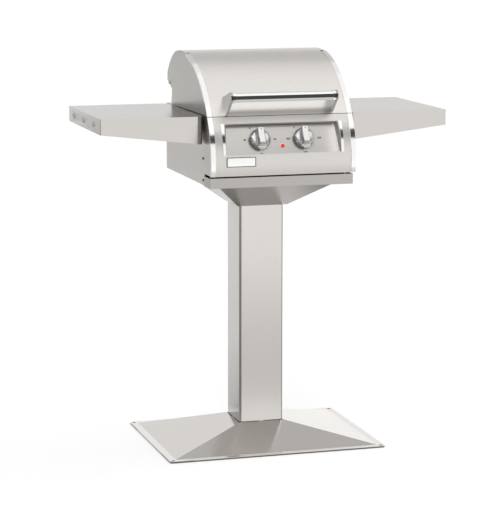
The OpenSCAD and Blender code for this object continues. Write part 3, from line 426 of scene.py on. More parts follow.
def black_print(name):
    """Black ink or blacking, thin enough to show the brushing under it"""
    made, graph = material(name)
    wear = graph.noise(350, 3.0, 0.6, (0.05, 1, 1))
    base = graph.mix(wear, (0.02, 0.02, 0.02, 1), (0.07, 0.07, 0.07, 1))
    finish_surface(graph, base, 0.0, wear * 0.2 + 0.4, wear, 0.1, 0.0002)
    return made


def heat_near_element(graph, clouds):
    """Share of straw-coloured heat tint, strongest at the heater's height"""
    _, _, height = graph.axes()
    return (1 - abs(height - HEATER_HEIGHT) / HEAT_REACH).most(0.0) * clouds * 0.7


def make_finishes(colours):
    """One material for each slot of the record"""
    panel, body, base, polish = (tuple(c) for c in (colours.panel, colours.body, colours.base, colours.polish))
    return {
        "steel_base": base_steel("brushed_base", base, 0.17),
        "steel_post": brushed("brushed_post", panel, "Z", 0.24),
        # The hopper's colour is darkened to 0.66 of the base steel as painted shade, for the shade under the body.
        "steel_hopper": brushed("brushed_hopper_painted_shade", shade(base, 0.66), "X", 0.28),
        "steel_body": brushed("brushed_body", shade(body, 1.27), "Y", 0.30),
        "steel_liner": brushed("mill_steel", shade(body, 0.95), "X", 0.38, 0.12, 0.1, heat_near_element),
        "steel_panel": brushed("brushed_panel", shade(panel, 1.01), "X", 0.36),
        "steel_plate": brushed("brushed_plate", shade(panel, 0.95), "X", 0.32),
        "steel_fascia": brushed("brushed_fascia", shade(panel, 0.66), "X", 0.28),
        "steel_lid": brushed("brushed_lid", shade(panel, 1.06), "X", 0.28),
        "steel_lid_side": brushed("brushed_lid_side", shade(body, 1.1), "Y", 0.26),
        "steel_shelf": brushed("brushed_shelf", shade(panel, 0.9), "X", 0.24),
        "steel_shelf_parts": brushed("plain_shelf_parts", shade(body, 0.9), "X", 0.36),
        "steel_frame": plate_steel("rolled_plate", (0.40, 0.40, 0.40)),
        "trim_polish": polished("polished_trim", polish, 0.10),
        "handle_polish": polished("polished_handle", polish, 0.07),
        "handle_arm_polish": brushed("satin_arm", shade(polish, 0.5), "Z", 0.2, 0.03, 0.02),
        "knob_metal": brushed("satin_knob", shade(polish, 0.8), "Z", 0.2, 0.008, 0.002),
        "shaft_metal": polished("turned_shaft", (0.62, 0.62, 0.62), 0.2),
        "control_case": moulded("black_case", (0.035, 0.035, 0.037), 0.45),
        "lamp_red": lens_red("red_lens", tuple(colours.lamp)),
        "element_dark": scaled_tube("heater_tube"),
        "grate_rod": polished("grate_rod", (0.66, 0.66, 0.65), 0.18),
        "probe_metal": polished("probe_tube", (0.62, 0.58, 0.52), 0.22),
        "fixing_bright": polished("plated_fixing", (0.62, 0.62, 0.62), 0.2),
        "fixing_dark": black_print("black_fixing"),
        "cable_black": moulded("black_cable", (0.03, 0.03, 0.03), 0.55),
    }


FINISH = {}


# Meshes and objects


def settle(obj, node_or_body, slot=None, replaces=()):
    """Gives a finished piece its body and, if it has no material yet, the material of its slot, and hides the
    nodes that it replaces
    """
    body = BODY_OF.get(node_or_body, node_or_body)
    slot = slot or SLOT_OF[node_or_body]
    if not obj.data.materials:
        obj.data.materials.append(FINISH[slot])
    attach(obj, body)
    if replaces:
        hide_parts(*replaces)
    return obj


def linked(name, data):
    """A new object in the scene"""
    obj = bpy.data.objects.new(name, data)
    bpy.context.scene.collection.objects.link(obj)
    return obj


def plain_mesh(obj, name):
    """The object with its modifiers worked in, as a new object at the origin"""
    bpy.context.view_layer.update()
    graph = bpy.context.evaluated_depsgraph_get()
    mesh = bpy.data.meshes.new_from_object(obj.evaluated_get(graph))
    mesh.name = name
    made = linked(name, mesh)
    bpy.data.objects.remove(obj)
    return made


def new_object(name, bm, smooth=True, angle=30):
    """An object from a finished bmesh, smooth up to the angle"""
    mesh = bpy.data.meshes.new(name)
    bm.to_mesh(mesh)
    bm.free()
    if smooth:
        mesh.shade_smooth()
        mesh.set_sharp_from_angle(angle=math.radians(angle))
    return linked(name, mesh)


def softened(node, name, width, segments=2):
    """A copy of a CAD node with its sharp edges rounded"""
    bm = bmesh.new()
    bm.from_mesh(NODES[node].data)
    bmesh.ops.remove_doubles(bm, verts=bm.verts, dist=2e-6)
    bmesh.ops.dissolve_limit(bm, angle_limit=math.radians(0.4), verts=bm.verts, edges=bm.edges)
    obj = new_object(name, bm)
    obj.data.materials.clear()
    edge = obj.modifiers.new("Edge", "BEVEL")
    edge.width, edge.segments, edge.limit_method = width, segments, "ANGLE"
    edge.angle_limit, edge.harden_normals = math.radians(32), True
    made = plain_mesh(obj, name)
    return settle(made, node, replaces=[node])


def add_face(bm, corners):
    return bm.faces.new([bm.verts.new(corner) for corner in corners])


def add_rows(bm, rows, closed=False):
    """Faces between rows of vertices, and from each row's end to its start if closed"""
    count = len(rows[0])
    for low, high in zip(rows, rows[1:]):
        for k in range(count if closed else count - 1):
            after = (k + 1) % count
            bm.faces.new((low[k], low[after], high[after], high[k]))


def revolve(bm, outline, steps):
    """Turns a list of (radius, height) points round the Z axis"""
    rings = []
    for radius, height in outline:
        turns = [2 * math.pi * i / steps for i in range(steps if radius > 0 else 1)]
        rings.append([bm.verts.new((radius * math.cos(turn), radius * math.sin(turn), height)) for turn in turns])
    for low, high in zip(rings, rings[1:]):
        for i in range(steps):
            j = (i + 1) % steps
            corners = [low[i % len(low)], low[j % len(low)], high[j % len(high)], high[i % len(high)]]
            unique = list(dict.fromkeys(corners))
            if len(unique) > 2:
                bm.faces.new(unique)


def turned(name, outline, steps, place=None):
    """An object from an outline of (radius, height) points"""
    bm = bmesh.new()
    revolve(bm, outline, steps)
    bmesh.ops.recalc_face_normals(bm, faces=bm.faces)
    if place:
        bm.transform(place)
    return new_object(name, bm)


def on_plate(place):
    """From a piece's own axes to the control plate's face at that place"""
    return Matrix.Translation(place) @ PLATE_TURN


# Pieces


class GRILL_OT_finishes(bpy.types.Operator):
    """Puts the procedural finishes on the CAD nodes"""

    bl_idname = "grill.finishes"
    bl_label = "Finishes"

    def execute(self, context):
        FINISH.update(make_finishes(context.scene.grill_colours))
        for node, obj in NODES.items():
            obj.data.materials.clear()
            obj.data.materials.append(FINISH[SLOT_OF[node]])
        return {"FINISHED"}


class GRILL_OT_sheets(bpy.types.Operator):
    """Breaks the edges of the sheet parts, so that they catch the light"""

    bl_idname = "grill.sheets"
    bl_label = "Sheet parts"

    def execute(self, context):
        sizes = context.scene.grill_sizes
        for node in ("body_side_left", "body_side_right", "body_rear", "front_panel", "recess_frame",
                     "control_plate", "lid_skin", "lid_side_left", "lid_side_right", "lid_rear_panel", "liner",
                     "drip_tray", "name_plate", "recess_strips", "panel_trim_left", "panel_trim_right",
                     "lid_trim_left", "lid_trim_right", "shelf_ribs_left", "shelf_ribs_right", "hinge_ears"):
            softened(node, node + "_sheet", sizes.sheet_edge)
        for node in ("shelf_left", "shelf_right", "tray_fascia", "base_plate"):
            softened(node, node + "_folded", sizes.sheet_edge * 1.5, 3)
        for node in ("base_cover", "hopper"):
            softened(node, node + "_folded", sizes.fold_edge, 3)
        return {"FINISHED"}


class GRILL_OT_handle(bpy.types.Operator):
    """Makes the handle's bar, collars and arms with rounded edges"""

    bl_idname = "grill.handle"
    bl_label = "Handle"

    def execute(self, context):
        low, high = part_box("handle_bar")
        radius, length = (high.z - low.z) / 2, high.x - low.x
        edge = radius * 0.08
        middle = (low + high) / 2
        outline = [(0, 0), (radius - edge, 0), (radius, edge), (radius, length / 2), (radius, length - edge),
                   (radius - edge, length), (0, length)]
        lying = Matrix.Translation((low.x, middle.y, middle.z)) @ Matrix.Rotation(math.pi / 2, 4, "Y")
        settle(turned("handle_bar_round", outline, 96, lying), "handle_bar", replaces=["handle_bar"])
        knob_edge = context.scene.grill_sizes.knob_edge
        softened("handle_collars", "handle_collars_round", knob_edge * 2.3, 6)
        softened("handle_arms", "handle_arms_round", knob_edge, 3)
        return {"FINISHED"}


class GRILL_OT_knobs(bpy.types.Operator):
    """Makes the two knobs: a disc with a rolled edge, and a grip bar that narrows upwards"""

    bl_idname = "grill.knobs"
    bl_label = "Knobs"

    def execute(self, context):
        edge = context.scene.grill_sizes.knob_edge
        self.knob("timer_knob", TIMER_AT, "knob_timer", edge)
        self.knob("thermostat_knob", THERMOSTAT_AT, "knob_thermostat", edge)
        return {"FINISHED"}

    def knob(self, node, place, name, edge):
        radius, gap, top = KNOB_RADIUS, KNOB_GAP, DISC_TOP
        disc = turned(name + "_disc", [
            (0, gap + 0.0005), (radius - 0.004, gap + 0.0005), (radius - 0.003, gap), (radius - 0.0005, gap),
            (radius, gap + 0.0005), (radius, gap + 0.0016), (radius - 0.0004, gap + 0.0023),
            (radius - 0.0060, top - 0.0010), (radius - 0.0070, top - 0.0002), (radius - 0.0082, top),
            (0, top + 0.0002)], 96)
        for piece in (disc, self.grip(name + "_grip", edge)):
            piece.data.transform(on_plate(place))
            settle(piece, node)
        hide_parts(node)
        mark = self.mark(name + "_mark")
        mark.data.transform(on_plate(place))
        settle(mark, node, "fixing_dark")

    def crest(self, y):
        """The height of the grip's sloping top"""
        return GRIP_TOP - (y - GRIP_LOW) * (GRIP_FALL / (GRIP_HIGH - GRIP_LOW))

    def grip(self, name, edge):
        """Rings from the disc up: the sides draw in, and the last part of the height is rounded"""
        straight, rounded = 0.93, 0.07
        bm = bmesh.new()
        rings = []
        for share in GRIP_LEVELS:
            over = max(0.0, (share - straight) / rounded)
            inset = edge * (1 - math.sqrt(1 - over * over))
            wide = 0.0078 + 0.0072 * (1 - share) ** 2.6 - inset
            start, end = GRIP_LOW + 0.0045 * share + inset, GRIP_HIGH - 0.0008 * share - inset
            rim = KNOB_RADIUS - 0.0003 - 0.0065 * max(0.0, 1 - share * 3)
            side = []
            for k in range(GRIP_STEPS + 1):
                y = start + (end - start) * k / GRIP_STEPS
                x = min(wide, math.sqrt(max(rim * rim - y * y, 1e-6)))
                side.append((x, y, GRIP_BASE + share * (self.crest(y) - GRIP_BASE)))
            other = [(-x, y, z) for x, y, z in reversed(side)]
            rings.append([bm.verts.new(spot) for spot in side + other])
        bm.faces.new(rings[0][::-1])
        bm.faces.new(rings[-1])
        add_rows(bm, rings, closed=True)
        bmesh.ops.recalc_face_normals(bm, faces=bm.faces)
        return new_object(name, bm, angle=38)

    def mark(self, name):
        """A small raised triangle near the grip's front end"""
        bm = bmesh.new()
        corners = ((-0.0020, GRIP_HIGH - 0.0075), (0.0020, GRIP_HIGH - 0.0075), (0, GRIP_HIGH - 0.0030))
        face = add_face(bm, [(x, y, self.crest(y)) for x, y in corners])
        made = bmesh.ops.extrude_face_region(bm, geom=[face])
        for v in [v for v in made["geom"] if isinstance(v, bmesh.types.BMVert)]:
            v.co.z += 0.00012
        bmesh.ops.recalc_face_normals(bm, faces=bm.faces)
        return new_object(name, bm, smooth=False)


class GRILL_OT_dials(bpy.types.Operator):
    """Prints a ring of ticks and plain numbers round each knob"""

    bl_idname = "grill.dials"
    bl_label = "Dials"

    def execute(self, context):
        sizes = context.scene.grill_sizes
        for name, place, words in (("dial_timer", TIMER_AT, ("0", "30", "60", "90")),
                                   ("dial_thermostat", THERMOSTAT_AT, ("0", "200", "300", "400"))):
            self.ticks(name, place, sizes.dial_radius)
            self.numbers(name, place, words, sizes)
        return {"FINISHED"}

    def ticks(self, name, place, start):
        half = 0.0003
        bm = bmesh.new()
        for k in range(TICKS):
            turn = Matrix.Rotation(math.radians(FIRST_TICK + k * TICK_PITCH), 4, "Z")
            end = start + (0.0026 if k % 5 == 0 else 0.0014)
            corners = ((start, -half, INK), (end, -half, INK), (end, half, INK), (start, half, INK))
            add_face(bm, [turn @ Vector(corner) for corner in corners])
        ticks = new_object(name + "_ticks", bm, smooth=False)
        ticks.data.transform(on_plate(place))
        settle(ticks, "control_plate", "fixing_dark")

    def numbers(self, name, place, words, sizes):
        joined = bmesh.new()
        for word, angle in zip(words, NUMBERS_AT):
            curve = bpy.data.curves.new(name + "_digits", "FONT")
            curve.body, curve.size = word, sizes.digit_height * 1.35
            curve.align_x, curve.align_y = "CENTER", "CENTER"
            curve.resolution_u, curve.offset = 3, 0.00022
            flat = plain_mesh(linked(name + "_digits", curve), name + "_digits")
            across, up = math.cos(math.radians(angle)), math.sin(math.radians(angle))
            reach = (sizes.dial_radius + 0.0035
                     + sizes.digit_height * (0.55 + 0.35 * (len(word) - 1) * abs(across)))
            flat.data.transform(Matrix.Translation((reach * across, reach * up, INK)))
            joined.from_mesh(flat.data)
            bpy.data.objects.remove(flat)
        digits = new_object(name + "_numbers", joined, smooth=False)
        digits.data.materials.clear()
        digits.data.transform(on_plate(place))
        settle(digits, "control_plate", "fixing_dark")


class GRILL_OT_recess(bpy.types.Operator):
    """Makes the recess's rolled upper lip, the joint round the control plate drawn as a dark line of painted
    shadow that is widest under the lip, and the badge's dark border, also a painted shadow
    """

    bl_idname = "grill.recess"
    bl_label = "Recess and name plate"

    def execute(self, context):
        sizes = context.scene.grill_sizes
        tip = PLATE_HALF - 0.0075
        foot_left, foot_right = (-PLATE_HALF, PLATE_FOOT), (PLATE_HALF, PLATE_FOOT)
        head_left, head_right = (-tip, PLATE_HEAD), (tip, PLATE_HEAD)
        bm = bmesh.new()
        # The joint round the plate is a real gap, but it is drawn as a dark line whose width is painted shadow:
        # 2.4 mm under the lip, and thinner at the foot and the ends.
        for a, b, wide in ((head_left, head_right, 0.0024), (foot_left, foot_right, 0.0004),
                           (foot_left, head_left, 0.0005), (foot_right, head_right, 0.0005)):
            along = (Vector((*b, 0)) - Vector((*a, 0))).normalized()
            side = Vector((-along.y, along.x, 0)) * wide / 2
            add_face(bm, [Vector((*p, INK)) + s * side for p, s in ((a, -1), (b, -1), (b, 1), (a, 1))])
        joint = new_object("plate_joint_shadow", bm, smooth=False)
        joint.data.transform(on_plate(PLATE_MIDDLE))
        settle(joint, "grill", "fixing_dark")
        radius, edge, out = sizes.lip_radius, 0.0004, 0.0141
        lying = (Matrix.Translation((-tip, PLATE_HEAD + radius * 0.62, out - radius * 1.02))
                 @ Matrix.Rotation(math.pi / 2, 4, "Y"))
        lip = turned("recess_lip", [(0, 0), (radius - edge, 0), (radius, edge), (radius, 2 * tip - edge),
                                    (radius - edge, 2 * tip), (0, 2 * tip)], 40, lying)
        lip.data.transform(on_plate(PLATE_MIDDLE))
        settle(lip, "grill", "steel_panel")
        self.border(sizes.border_width)
        return {"FINISHED"}

    def border(self, wide):
        """A flat dark ring of painted shadow round the name plate, which follows the plate's curved face"""
        low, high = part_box("name_plate")
        over, lift, thick, steps = 0.0004, 0.0002, 0.0016, 8
        rows = {}
        for z, y in sorted((v.co.z, v.co.y) for v in NODES["name_plate"].data.vertices
                           if abs(v.co.x - low.x) < 1e-5):
            rows[round(z, 5)] = min(y, rows.get(round(z, 5), 0.0))
        heights = sorted(rows)

        def spot(x, z, back):
            held = min(max(z, heights[0]), heights[-1])
            a, b = next(pair for pair in zip(heights, heights[1:]) if held <= pair[1])
            return x, rows[a] + (rows[b] - rows[a]) * (held - a) / (b - a) - lift + back, z

        outer = (low.x - over, high.x + over, low.z - over, high.z + over)
        inner = (low.x + wide, high.x - wide, low.z + wide, high.z - wide)
        bm = bmesh.new()
        for x0, x1, z0, z1 in ((outer[0], inner[0], outer[2], outer[3]), (inner[1], outer[1], outer[2], outer[3]),
                               (inner[0], inner[1], outer[2], inner[2]), (inner[0], inner[1], inner[3], outer[3])):
            levels = [z0 + (z1 - z0) * k / steps for k in range(steps + 1)]
            strips = list(zip(levels, levels[1:]))
            faces = [([(x0, a, back), (x1, a, back), (x1, b, back), (x0, b, back)], back > 0)
                     for back in (0, thick) for a, b in strips]
            faces += [([(x, a, 0), (x, a, thick), (x, b, thick), (x, b, 0)], x == x0)
                      for x in (x0, x1) for a, b in strips]
            faces += [([(x0, z, 0), (x0, z, thick), (x1, z, thick), (x1, z, 0)], z == z1) for z in (z0, z1)]
            for corners, flipped in faces:
                spots = [spot(*corner) for corner in corners]
                add_face(bm, spots[::-1] if flipped else spots)
        bmesh.ops.remove_doubles(bm, verts=bm.verts, dist=1e-6)
        bmesh.ops.recalc_face_normals(bm, faces=bm.faces)
        settle(new_object("name_plate_shadow_border", bm, smooth=False), "grill", "fixing_dark")


class GRILL_OT_lamp(bpy.types.Operator):
    """Makes the lamp: a bright bezel and a domed red lens"""

    bl_idname = "grill.lamp"
    bl_label = "Lamp"

    def execute(self, context):
        place = PLATE_MIDDLE + PLATE_TURN @ Vector((0, PLATE_FOOT + LAMP_OVER_FOOT, 0))
        bezel = turned("lamp_bezel", [(0.0046, -0.001), (0.0064, 0.0), (0.0065, 0.0006), (0.0061, 0.0012),
                                      (0.0053, 0.0013), (0.0048, 0.0009), (0.0046, 0.0)], 48)
        dome = [(0.0048 * math.cos(a), 0.0008 + 0.0054 * math.sin(a))
                for a in (math.radians(9 * i) for i in range(10))]
        stem = [(0, -0.0165), (0.0045, -0.0165), (0.0045, 0.0)]
        lens = turned("lamp_lens", stem + dome + [(0, 0.0062)], 48)
        for piece in (bezel, lens):
            piece.data.transform(on_plate(place))
        settle(bezel, "grill", "trim_polish")
        settle(lens, "indicator_lamp", replaces=["indicator_lamp"])
        return {"FINISHED"}


# Geometry Nodes


def node_group(name, sizes):
    """A geometry tree with named number inputs, and its group input as a dictionary of sockets"""
    tree = bpy.data.node_groups.new(name, "GeometryNodeTree")
    graph = Graph(tree)
    tree.interface.new_socket("Geometry", in_out="OUTPUT", socket_type="NodeSocketGeometry")
    tree.interface.new_socket("Geometry", in_out="INPUT", socket_type="NodeSocketGeometry")
    for label, value in sizes.items():
        socket = tree.interface.new_socket(label, in_out="INPUT", socket_type="NodeSocketFloat")
        socket.default_value = value
    tree.interface.new_socket("Finish", in_out="INPUT", socket_type="NodeSocketMaterial")
    start = graph.node("NodeGroupInput")
    return tree, graph, {label: start.out(label) for label in ("Geometry", *sizes, "Finish")}


def end_group(graph, shape, given):
    """The shape on every point, with its Z along the point's own direction, as real geometry"""
    way = graph.node("GeometryNodeInputNamedAttribute", {"data_type": "FLOAT_VECTOR"}, {"Name": "way"})
    turn = graph.node("FunctionNodeAlignRotationToVector", {"axis": "Z"}, {"Vector": way.out("Attribute")}).out(0)
    copies = graph.node("GeometryNodeInstanceOnPoints", None,
                        {"Points": given["Geometry"], "Instance": shape, "Rotation": turn}).out(0)
    real = graph.node("GeometryNodeRealizeInstances", None, {"Geometry": copies}).out(0)
    dressed = graph.node("GeometryNodeSetMaterial", None, {"Geometry": real, "Material": given["Finish"]}).out(0)
    graph.node("NodeGroupOutput", None, {0: dressed})


def raised(graph, shape, z):
    at = graph.node("ShaderNodeCombineXYZ", None, {0: 0.0, 1: 0.0, 2: z}).out(0)
    return graph.node("GeometryNodeTransform", None, {"Geometry": shape, "Translation": at}).out(0)


def joined_or_cut(graph, operation, values):
    """A boolean with the solver that gives the same mesh each run"""
    return graph.node("GeometryNodeMeshBoolean", {"operation": operation, "solver": "MANIFOLD"}, values).out(0)


def cross_head_tree():
    """Pan head with a cross recess"""
    tree, graph, given = node_group("Cross head", {"Radius": 0.0035, "Height": 0.0022})
    radius, height = given["Radius"], given["Height"]
    rim = graph.node("GeometryNodeMeshCylinder", {"fill_type": "NGON"},
                     {"Vertices": 28, "Radius": radius, "Depth": height * 0.55}).out(0)
    crown = graph.node("GeometryNodeMeshCone", {"fill_type": "NGON"},
                       {"Vertices": 28, "Radius Top": radius * 0.62, "Radius Bottom": radius,
                        "Depth": height * 0.45}).out(0)
    head = joined_or_cut(graph, "UNION", {1: [raised(graph, rim, height * 0.275),
                                              raised(graph, crown, height * 0.549)]})
    bars = []
    for wide, deep in ((0.9, 0.2), (0.2, 0.9)):
        size = graph.node("ShaderNodeCombineXYZ", None, {0: radius * wide, 1: radius * deep, 2: height}).out(0)
        bars.append(raised(graph, graph.node("GeometryNodeMeshCube", None, {"Size": size}).out(0), height))
    end_group(graph, joined_or_cut(graph, "DIFFERENCE", {0: head, 1: bars}), given)
    return tree


def dome_tree():
    """Domed rivet head or weld drop"""
    tree, graph, given = node_group("Dome", {"Radius": 0.002, "Flatness": 0.6})
    ball = graph.node("GeometryNodeMeshUVSphere", None,
                      {"Segments": 16, "Rings": 8, "Radius": given["Radius"]}).out(0)
    scale = graph.node("ShaderNodeCombineXYZ", None, {0: 1.0, 1: 1.0, 2: given["Flatness"]}).out(0)
    flat = graph.node("GeometryNodeTransform", None, {"Geometry": ball, "Scale": scale}).out(0)
    end_group(graph, flat, given)
    return tree


def scattered(name, tree, spots, inputs, finish):
    """A plain mesh of the tree's shape on each (place, direction)"""
    mesh = bpy.data.meshes.new(name + "_points")
    mesh.from_pydata([tuple(place) for place, _ in spots], [], [])
    way = mesh.attributes.new("way", "FLOAT_VECTOR", "POINT")
    for item, (_, direction) in zip(way.data, spots):
        item.vector = direction
    obj = linked(name + "_points", mesh)
    modifier = obj.modifiers.new("Shape", "NODES")
    modifier.node_group = tree
    by_name = {item.name: item.identifier for item in tree.interface.items_tree if item.in_out == "INPUT"}
    for label, value in inputs.items():
        modifier[by_name[label]] = value
    modifier[by_name["Finish"]] = FINISH[finish]
    made = plain_mesh(obj, name)
    made.data.shade_smooth()
    made.data.set_sharp_from_angle(angle=math.radians(35))
    return made


class GRILL_OT_fasteners(bpy.types.Operator):
    """Makes the side screws' heads, the rivets over the fascia, and the weld and joint at the post's foot"""

    bl_idname = "grill.fasteners"
    bl_label = "Fasteners"

    def execute(self, context):
        sizes = context.scene.grill_sizes
        self.screws(sizes.screw_radius)
        dome = dome_tree()
        self.rivets(dome, sizes.rivet_radius, sizes.rivet_pitch)
        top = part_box("base_cover")[1].z
        self.welds(dome, top, sizes.weld_radius)
        self.foot_joint(top, sizes.joint_width)
        return {"FINISHED"}

    def screws(self, radius):
        low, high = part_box("side_screws")
        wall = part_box("body_side_right")[1].x
        spots = [((side * wall, (low.y + high.y) / 2, z), (side, 0, 0))
                 for side in (-1, 1) for z in (low.z + radius, high.z - radius)]
        heads = scattered("side_screw_heads", cross_head_tree(), spots,
                          {"Radius": radius, "Height": 0.0022}, "fixing_dark")
        settle(heads, "side_screws", replaces=["side_screws"])

    def rivets(self, dome, radius, pitch):
        low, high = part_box("drip_tray")
        spots = [((-0.006 + (i - 2) * pitch, low.y + 0.0006, high.z), (0, 0, 1)) for i in range(5)]
        rivets = scattered("tray_rivets", dome, spots, {"Radius": radius, "Flatness": 0.8}, "fixing_bright")
        settle(rivets, "tray", "fixing_bright")

    def welds(self, dome, top, radius):
        """Seven drops in the middle of each side of the post"""
        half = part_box("post_tube")[1].x
        spots = []
        for side in range(4):
            turn = Matrix.Rotation(side * math.pi / 2, 3, "Z")
            for k in range(-3, 4):
                place = turn @ Vector((k * radius * 1.1, -half - radius * 0.3, 0))
                spots.append(((place.x, place.y, top + radius * 0.2), turn @ Vector((0, -0.7, 0.7))))
        welds = scattered("foot_welds", dome, spots, {"Radius": radius, "Flatness": 0.7}, "steel_post")
        settle(welds, "grill", "steel_post")

    def foot_joint(self, top, width):
        """A thin dark joint round the post, where it comes out of the cover"""
        bm = bmesh.new()
        for x, y in {(round(v.co.x, 5), round(v.co.y, 5)) for v in NODES["post_tube"].data.vertices}:
            bm.verts.new((x, y, 0))
        hull = bmesh.ops.convex_hull(bm, input=bm.verts)
        outline = sorted({(v.co.x, v.co.y) for v in hull["geom"] if isinstance(v, bmesh.types.BMVert)},
                         key=lambda p: math.atan2(p[1], p[0]))
        bm.free()
        half = max(x for x, _ in outline)
        sunk, out = -0.0004, width * 0.3
        bm = bmesh.new()
        rings = [[bm.verts.new((x * (1 + shift / half), y * (1 + shift / half), z)) for x, y in outline]
                 for shift, z in ((sunk, top + sunk), (out, top + sunk), (out, top + width), (sunk, top + width))]
        add_rows(bm, rings + rings[:1], closed=True)
        bmesh.ops.recalc_face_normals(bm, faces=bm.faces)
        settle(new_object("foot_joint", bm), "grill", "fixing_dark")


def oblong(left, right, low, high):
    return (left, low), (right, low), (right, high), (left, high)


class GRILL_OT_stage(bpy.types.Operator):
    """Makes the floor, the light, the cards and the camera"""

    bl_idname = "grill.stage"
    bl_label = "Stage"

    def execute(self, context):
        settings = context.scene.grill_stage
        self.floor()
        self.world(settings.sky)
        for name, turns, heights, level, radius in CARDS:
            self.card(name, turns, heights, self.held(settings, level), radius)
        self.handle_sheets(settings.strip)
        self.recess_sheets()
        for name, turns, radii, level in FLOOR_SHEETS:
            edges = ((radii[0], range(turns[0], turns[1], 6)), (radii[1], range(turns[1], turns[0], -6)))
            corners = [(radius * math.sin(math.radians(turn)), -radius * math.cos(math.radians(turn)),
                        FLOOR_SHEET_HEIGHT) for radius, way in edges for turn in way]
            self.sheet(name, corners, self.held(settings, level))
        self.lamp("key", (-1.6, -3.2, 3.6), settings.key)
        self.lamp("fill", (3.2, 0.6, 3.2), settings.fill)
        self.camera(settings.lens)
        context.scene.view_settings.view_transform = "Standard"
        return {"FINISHED"}

    def held(self, settings, level):
        return getattr(settings, level) if isinstance(level, str) else level

    def seen_white(self, graph):
        """1 where the camera, a reflection or a clear piece looks at it, and 0 for its light"""
        path = graph.node("ShaderNodeLightPath")
        return path.out("Is Camera Ray").most(path.out("Is Glossy Ray")).most(path.out("Is Transmission Ray"))

    def card(self, name, turns, heights, level, radius):
        """Part of a wide dome that only reflections see, so that the steel has something to mirror"""
        bm = bmesh.new()
        rows = []
        for i in range(CARD_ROWS + 1):
            tilt = math.radians(heights[0] + (heights[1] - heights[0]) * i / CARD_ROWS)
            row = []
            for k in range(CARD_COLUMNS + 1):
                turn = math.radians(turns[0] + (turns[1] - turns[0]) * k / CARD_COLUMNS)
                way = Vector((math.sin(turn) * math.cos(tilt), -math.cos(turn) * math.cos(tilt), math.sin(tilt)))
                row.append(bm.verts.new(way * radius + CARD_MIDDLE))
            rows.append(row)
        add_rows(bm, rows)
        self.flag(name, bm, level)

    def handle_sheets(self, strip):
        """The bar's dark band, a dark sheet behind the bar that stands in for the handle's shade on the lid, and
        the light under it
        """
        low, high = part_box("handle_bar")
        band = oblong(low.x - 0.004, high.x + 0.006, low.z + 0.0024, low.z + 0.0242)
        self.sheet("dark_strip", [(x, low.y - 0.005, z) for x, z in band], strip)
        back = oblong(low.x, high.x, low.z - 0.004, high.z - 0.003)
        # Painted shade: a dark sheet behind the bar, where there is only shade, so that the lid below mirrors a
        # stand-in for the handle's shade.
        self.sheet("bar_back_shade", [(x, high.y + 0.003, z) for x, z in back], 0.3)
        below = oblong(low.x + 0.004, high.x - 0.004, low.y - 0.004, high.y)
        self.sheet("bar_below", [(x, y, low.z - 0.0035) for x, y in below], 0.6)

    def recess_sheets(self):
        """A dark arc beside each knob, and the recess's dark head and bright right end"""
        for name, place in (("knob_shade_left", TIMER_AT), ("knob_shade_right", THERMOSTAT_AT)):
            arc = [(0.0302 * math.cos(turn), 0.0302 * math.sin(turn))
                   for turn in (math.radians(degrees) for degrees in range(165, 265, 9))]
            bm = bmesh.new()
            add_rows(bm, [[bm.verts.new(on_plate(place) @ Vector((x, y, z))) for x, y in arc]
                          for z in (0.0003, 0.0085)])
            self.flag(name, bm, 0.16)
        plate = on_plate(PLATE_MIDDLE)
        head = oblong(-0.15, 0.15, 0.002, 0.015)
        self.sheet("recess_shade", [plate @ Vector((x, PLATE_HEAD - 0.001, z)) for x, z in head], 0.25)
        end = oblong(-0.036, 0.036, 0.016, 0.075)
        self.sheet("recess_glow", [plate @ Vector((PLATE_HALF + 0.001, y, z)) for y, z in end], 1.22)

    def sheet(self, name, corners, level):
        bm = bmesh.new()
        add_face(bm, corners)
        bmesh.ops.triangulate(bm, faces=bm.faces)
        self.flag(name, bm, level)

    def flag(self, name, bm, level):
        """Ends a card or a sheet: an even level that only reflections see"""
        card = new_object(name, bm, smooth=False)
        made, graph = material(name)
        light = graph.node("ShaderNodeEmission", None, {"Color": (1, 1, 1, 1), "Strength": level}).out(0)
        graph.node("ShaderNodeOutputMaterial", None, {"Surface": light})
        card.data.materials.append(made)
        card.visible_camera = card.visible_diffuse = card.visible_shadow = card.visible_transmission = False

    def floor(self):
        """A matt floor that is lifted to white, a little less near the base"""
        bm = bmesh.new()
        bmesh.ops.create_grid(bm, x_segments=2, y_segments=2, size=60)
        floor = new_object("floor", bm, smooth=False)
        made, graph = material("pale_floor")
        matt = graph.node("ShaderNodeBsdfDiffuse", None, {"Color": (0.8, 0.8, 0.8, 1)}).out(0)
        x, y, _ = graph.axes()
        far = (x * x + y * y).between(0.5, 9.0)
        lift = graph.node("ShaderNodeEmission", None, {
            "Color": graph.mix(far, (0.89, 0.89, 0.89, 1), (1, 1, 1, 1)),
            "Strength": self.seen_white(graph) * 0.515}).out(0)
        both = graph.node("ShaderNodeAddShader", None, {0: matt, 1: lift}).out(0)
        graph.node("ShaderNodeOutputMaterial", None, {"Surface": both})
        floor.data.materials.append(made)

    def world(self, level):
        world = bpy.data.worlds.new("studio")
        world.use_nodes = True
        graph = Graph(world.node_tree)
        strength = self.seen_white(graph) * (1.0 - level) + level
        sky = graph.node("ShaderNodeBackground", None, {"Color": (1, 1, 1, 1), "Strength": strength}).out(0)
        graph.node("ShaderNodeOutputWorld", None, {"Surface": sky})
        bpy.context.scene.world = world

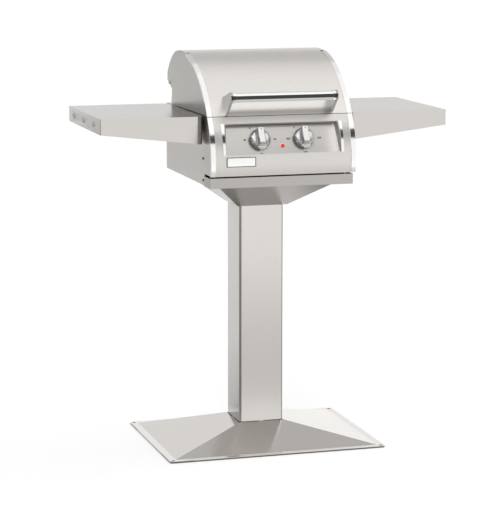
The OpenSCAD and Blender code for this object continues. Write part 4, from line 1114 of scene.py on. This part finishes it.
    def lamp(self, name, place, power):
        light = bpy.data.lights.new(name, "AREA")
        light.shape, light.size, light.size_y, light.energy = "RECTANGLE", LAMP_SIZE, LAMP_SIZE, power
        obj = linked(name, light)
        obj.location = place
        obj.rotation_euler = (Vector((0, 0, 0.6)) - Vector(place)).to_track_quat("-Z", "Y").to_euler()

    def camera(self, lens):
        data = bpy.data.cameras.new("camera")
        data.lens, data.sensor_width, data.sensor_fit = lens, 36.0, "AUTO"
        data.clip_start, data.clip_end = 0.1, 200.0
        obj = bpy.context.scene.camera = linked("camera", data)
        obj.location = CAMERA_AT
        obj.rotation_euler = Vector(CAMERA_WAY).to_track_quat("-Z", "Y").to_euler()


class GRILL_PT_pieces(bpy.types.Panel):
    """Lists the grill's pieces"""

    bl_idname = "GRILL_PT_pieces"
    bl_label = "Pedestal grill"
    bl_space_type = "VIEW_3D"
    bl_region_type = "UI"
    bl_category = "Grill"

    def draw(self, context):
        for operator in OPERATORS:
            self.layout.operator(operator.bl_idname)
        for group in (context.scene.grill_sizes, context.scene.grill_colours, context.scene.grill_stage):
            for key in group.__annotations__:
                self.layout.prop(group, key)


GROUPS = {"grill_sizes": GrillSizes, "grill_colours": GrillColours, "grill_stage": StageSettings}
OPERATORS = (GRILL_OT_stage, GRILL_OT_finishes, GRILL_OT_sheets, GRILL_OT_handle, GRILL_OT_knobs,
             GRILL_OT_dials, GRILL_OT_recess, GRILL_OT_lamp, GRILL_OT_fasteners)


def register():
    for cls in (*GROUPS.values(), *OPERATORS, GRILL_PT_pieces):
        bpy.utils.register_class(cls)
    for name, group in GROUPS.items():
        setattr(bpy.types.Scene, name, bpy.props.PointerProperty(type=group))


def unregister():
    for name in GROUPS:
        delattr(bpy.types.Scene, name)
    for cls in reversed((*GROUPS.values(), *OPERATORS, GRILL_PT_pieces)):
        bpy.utils.unregister_class(cls)


def main():
    register()
    for operator in OPERATORS:
        group, name = operator.bl_idname.split(".")
        getattr(getattr(bpy.ops, group), name)()


if __name__ == "__main__":
    main()
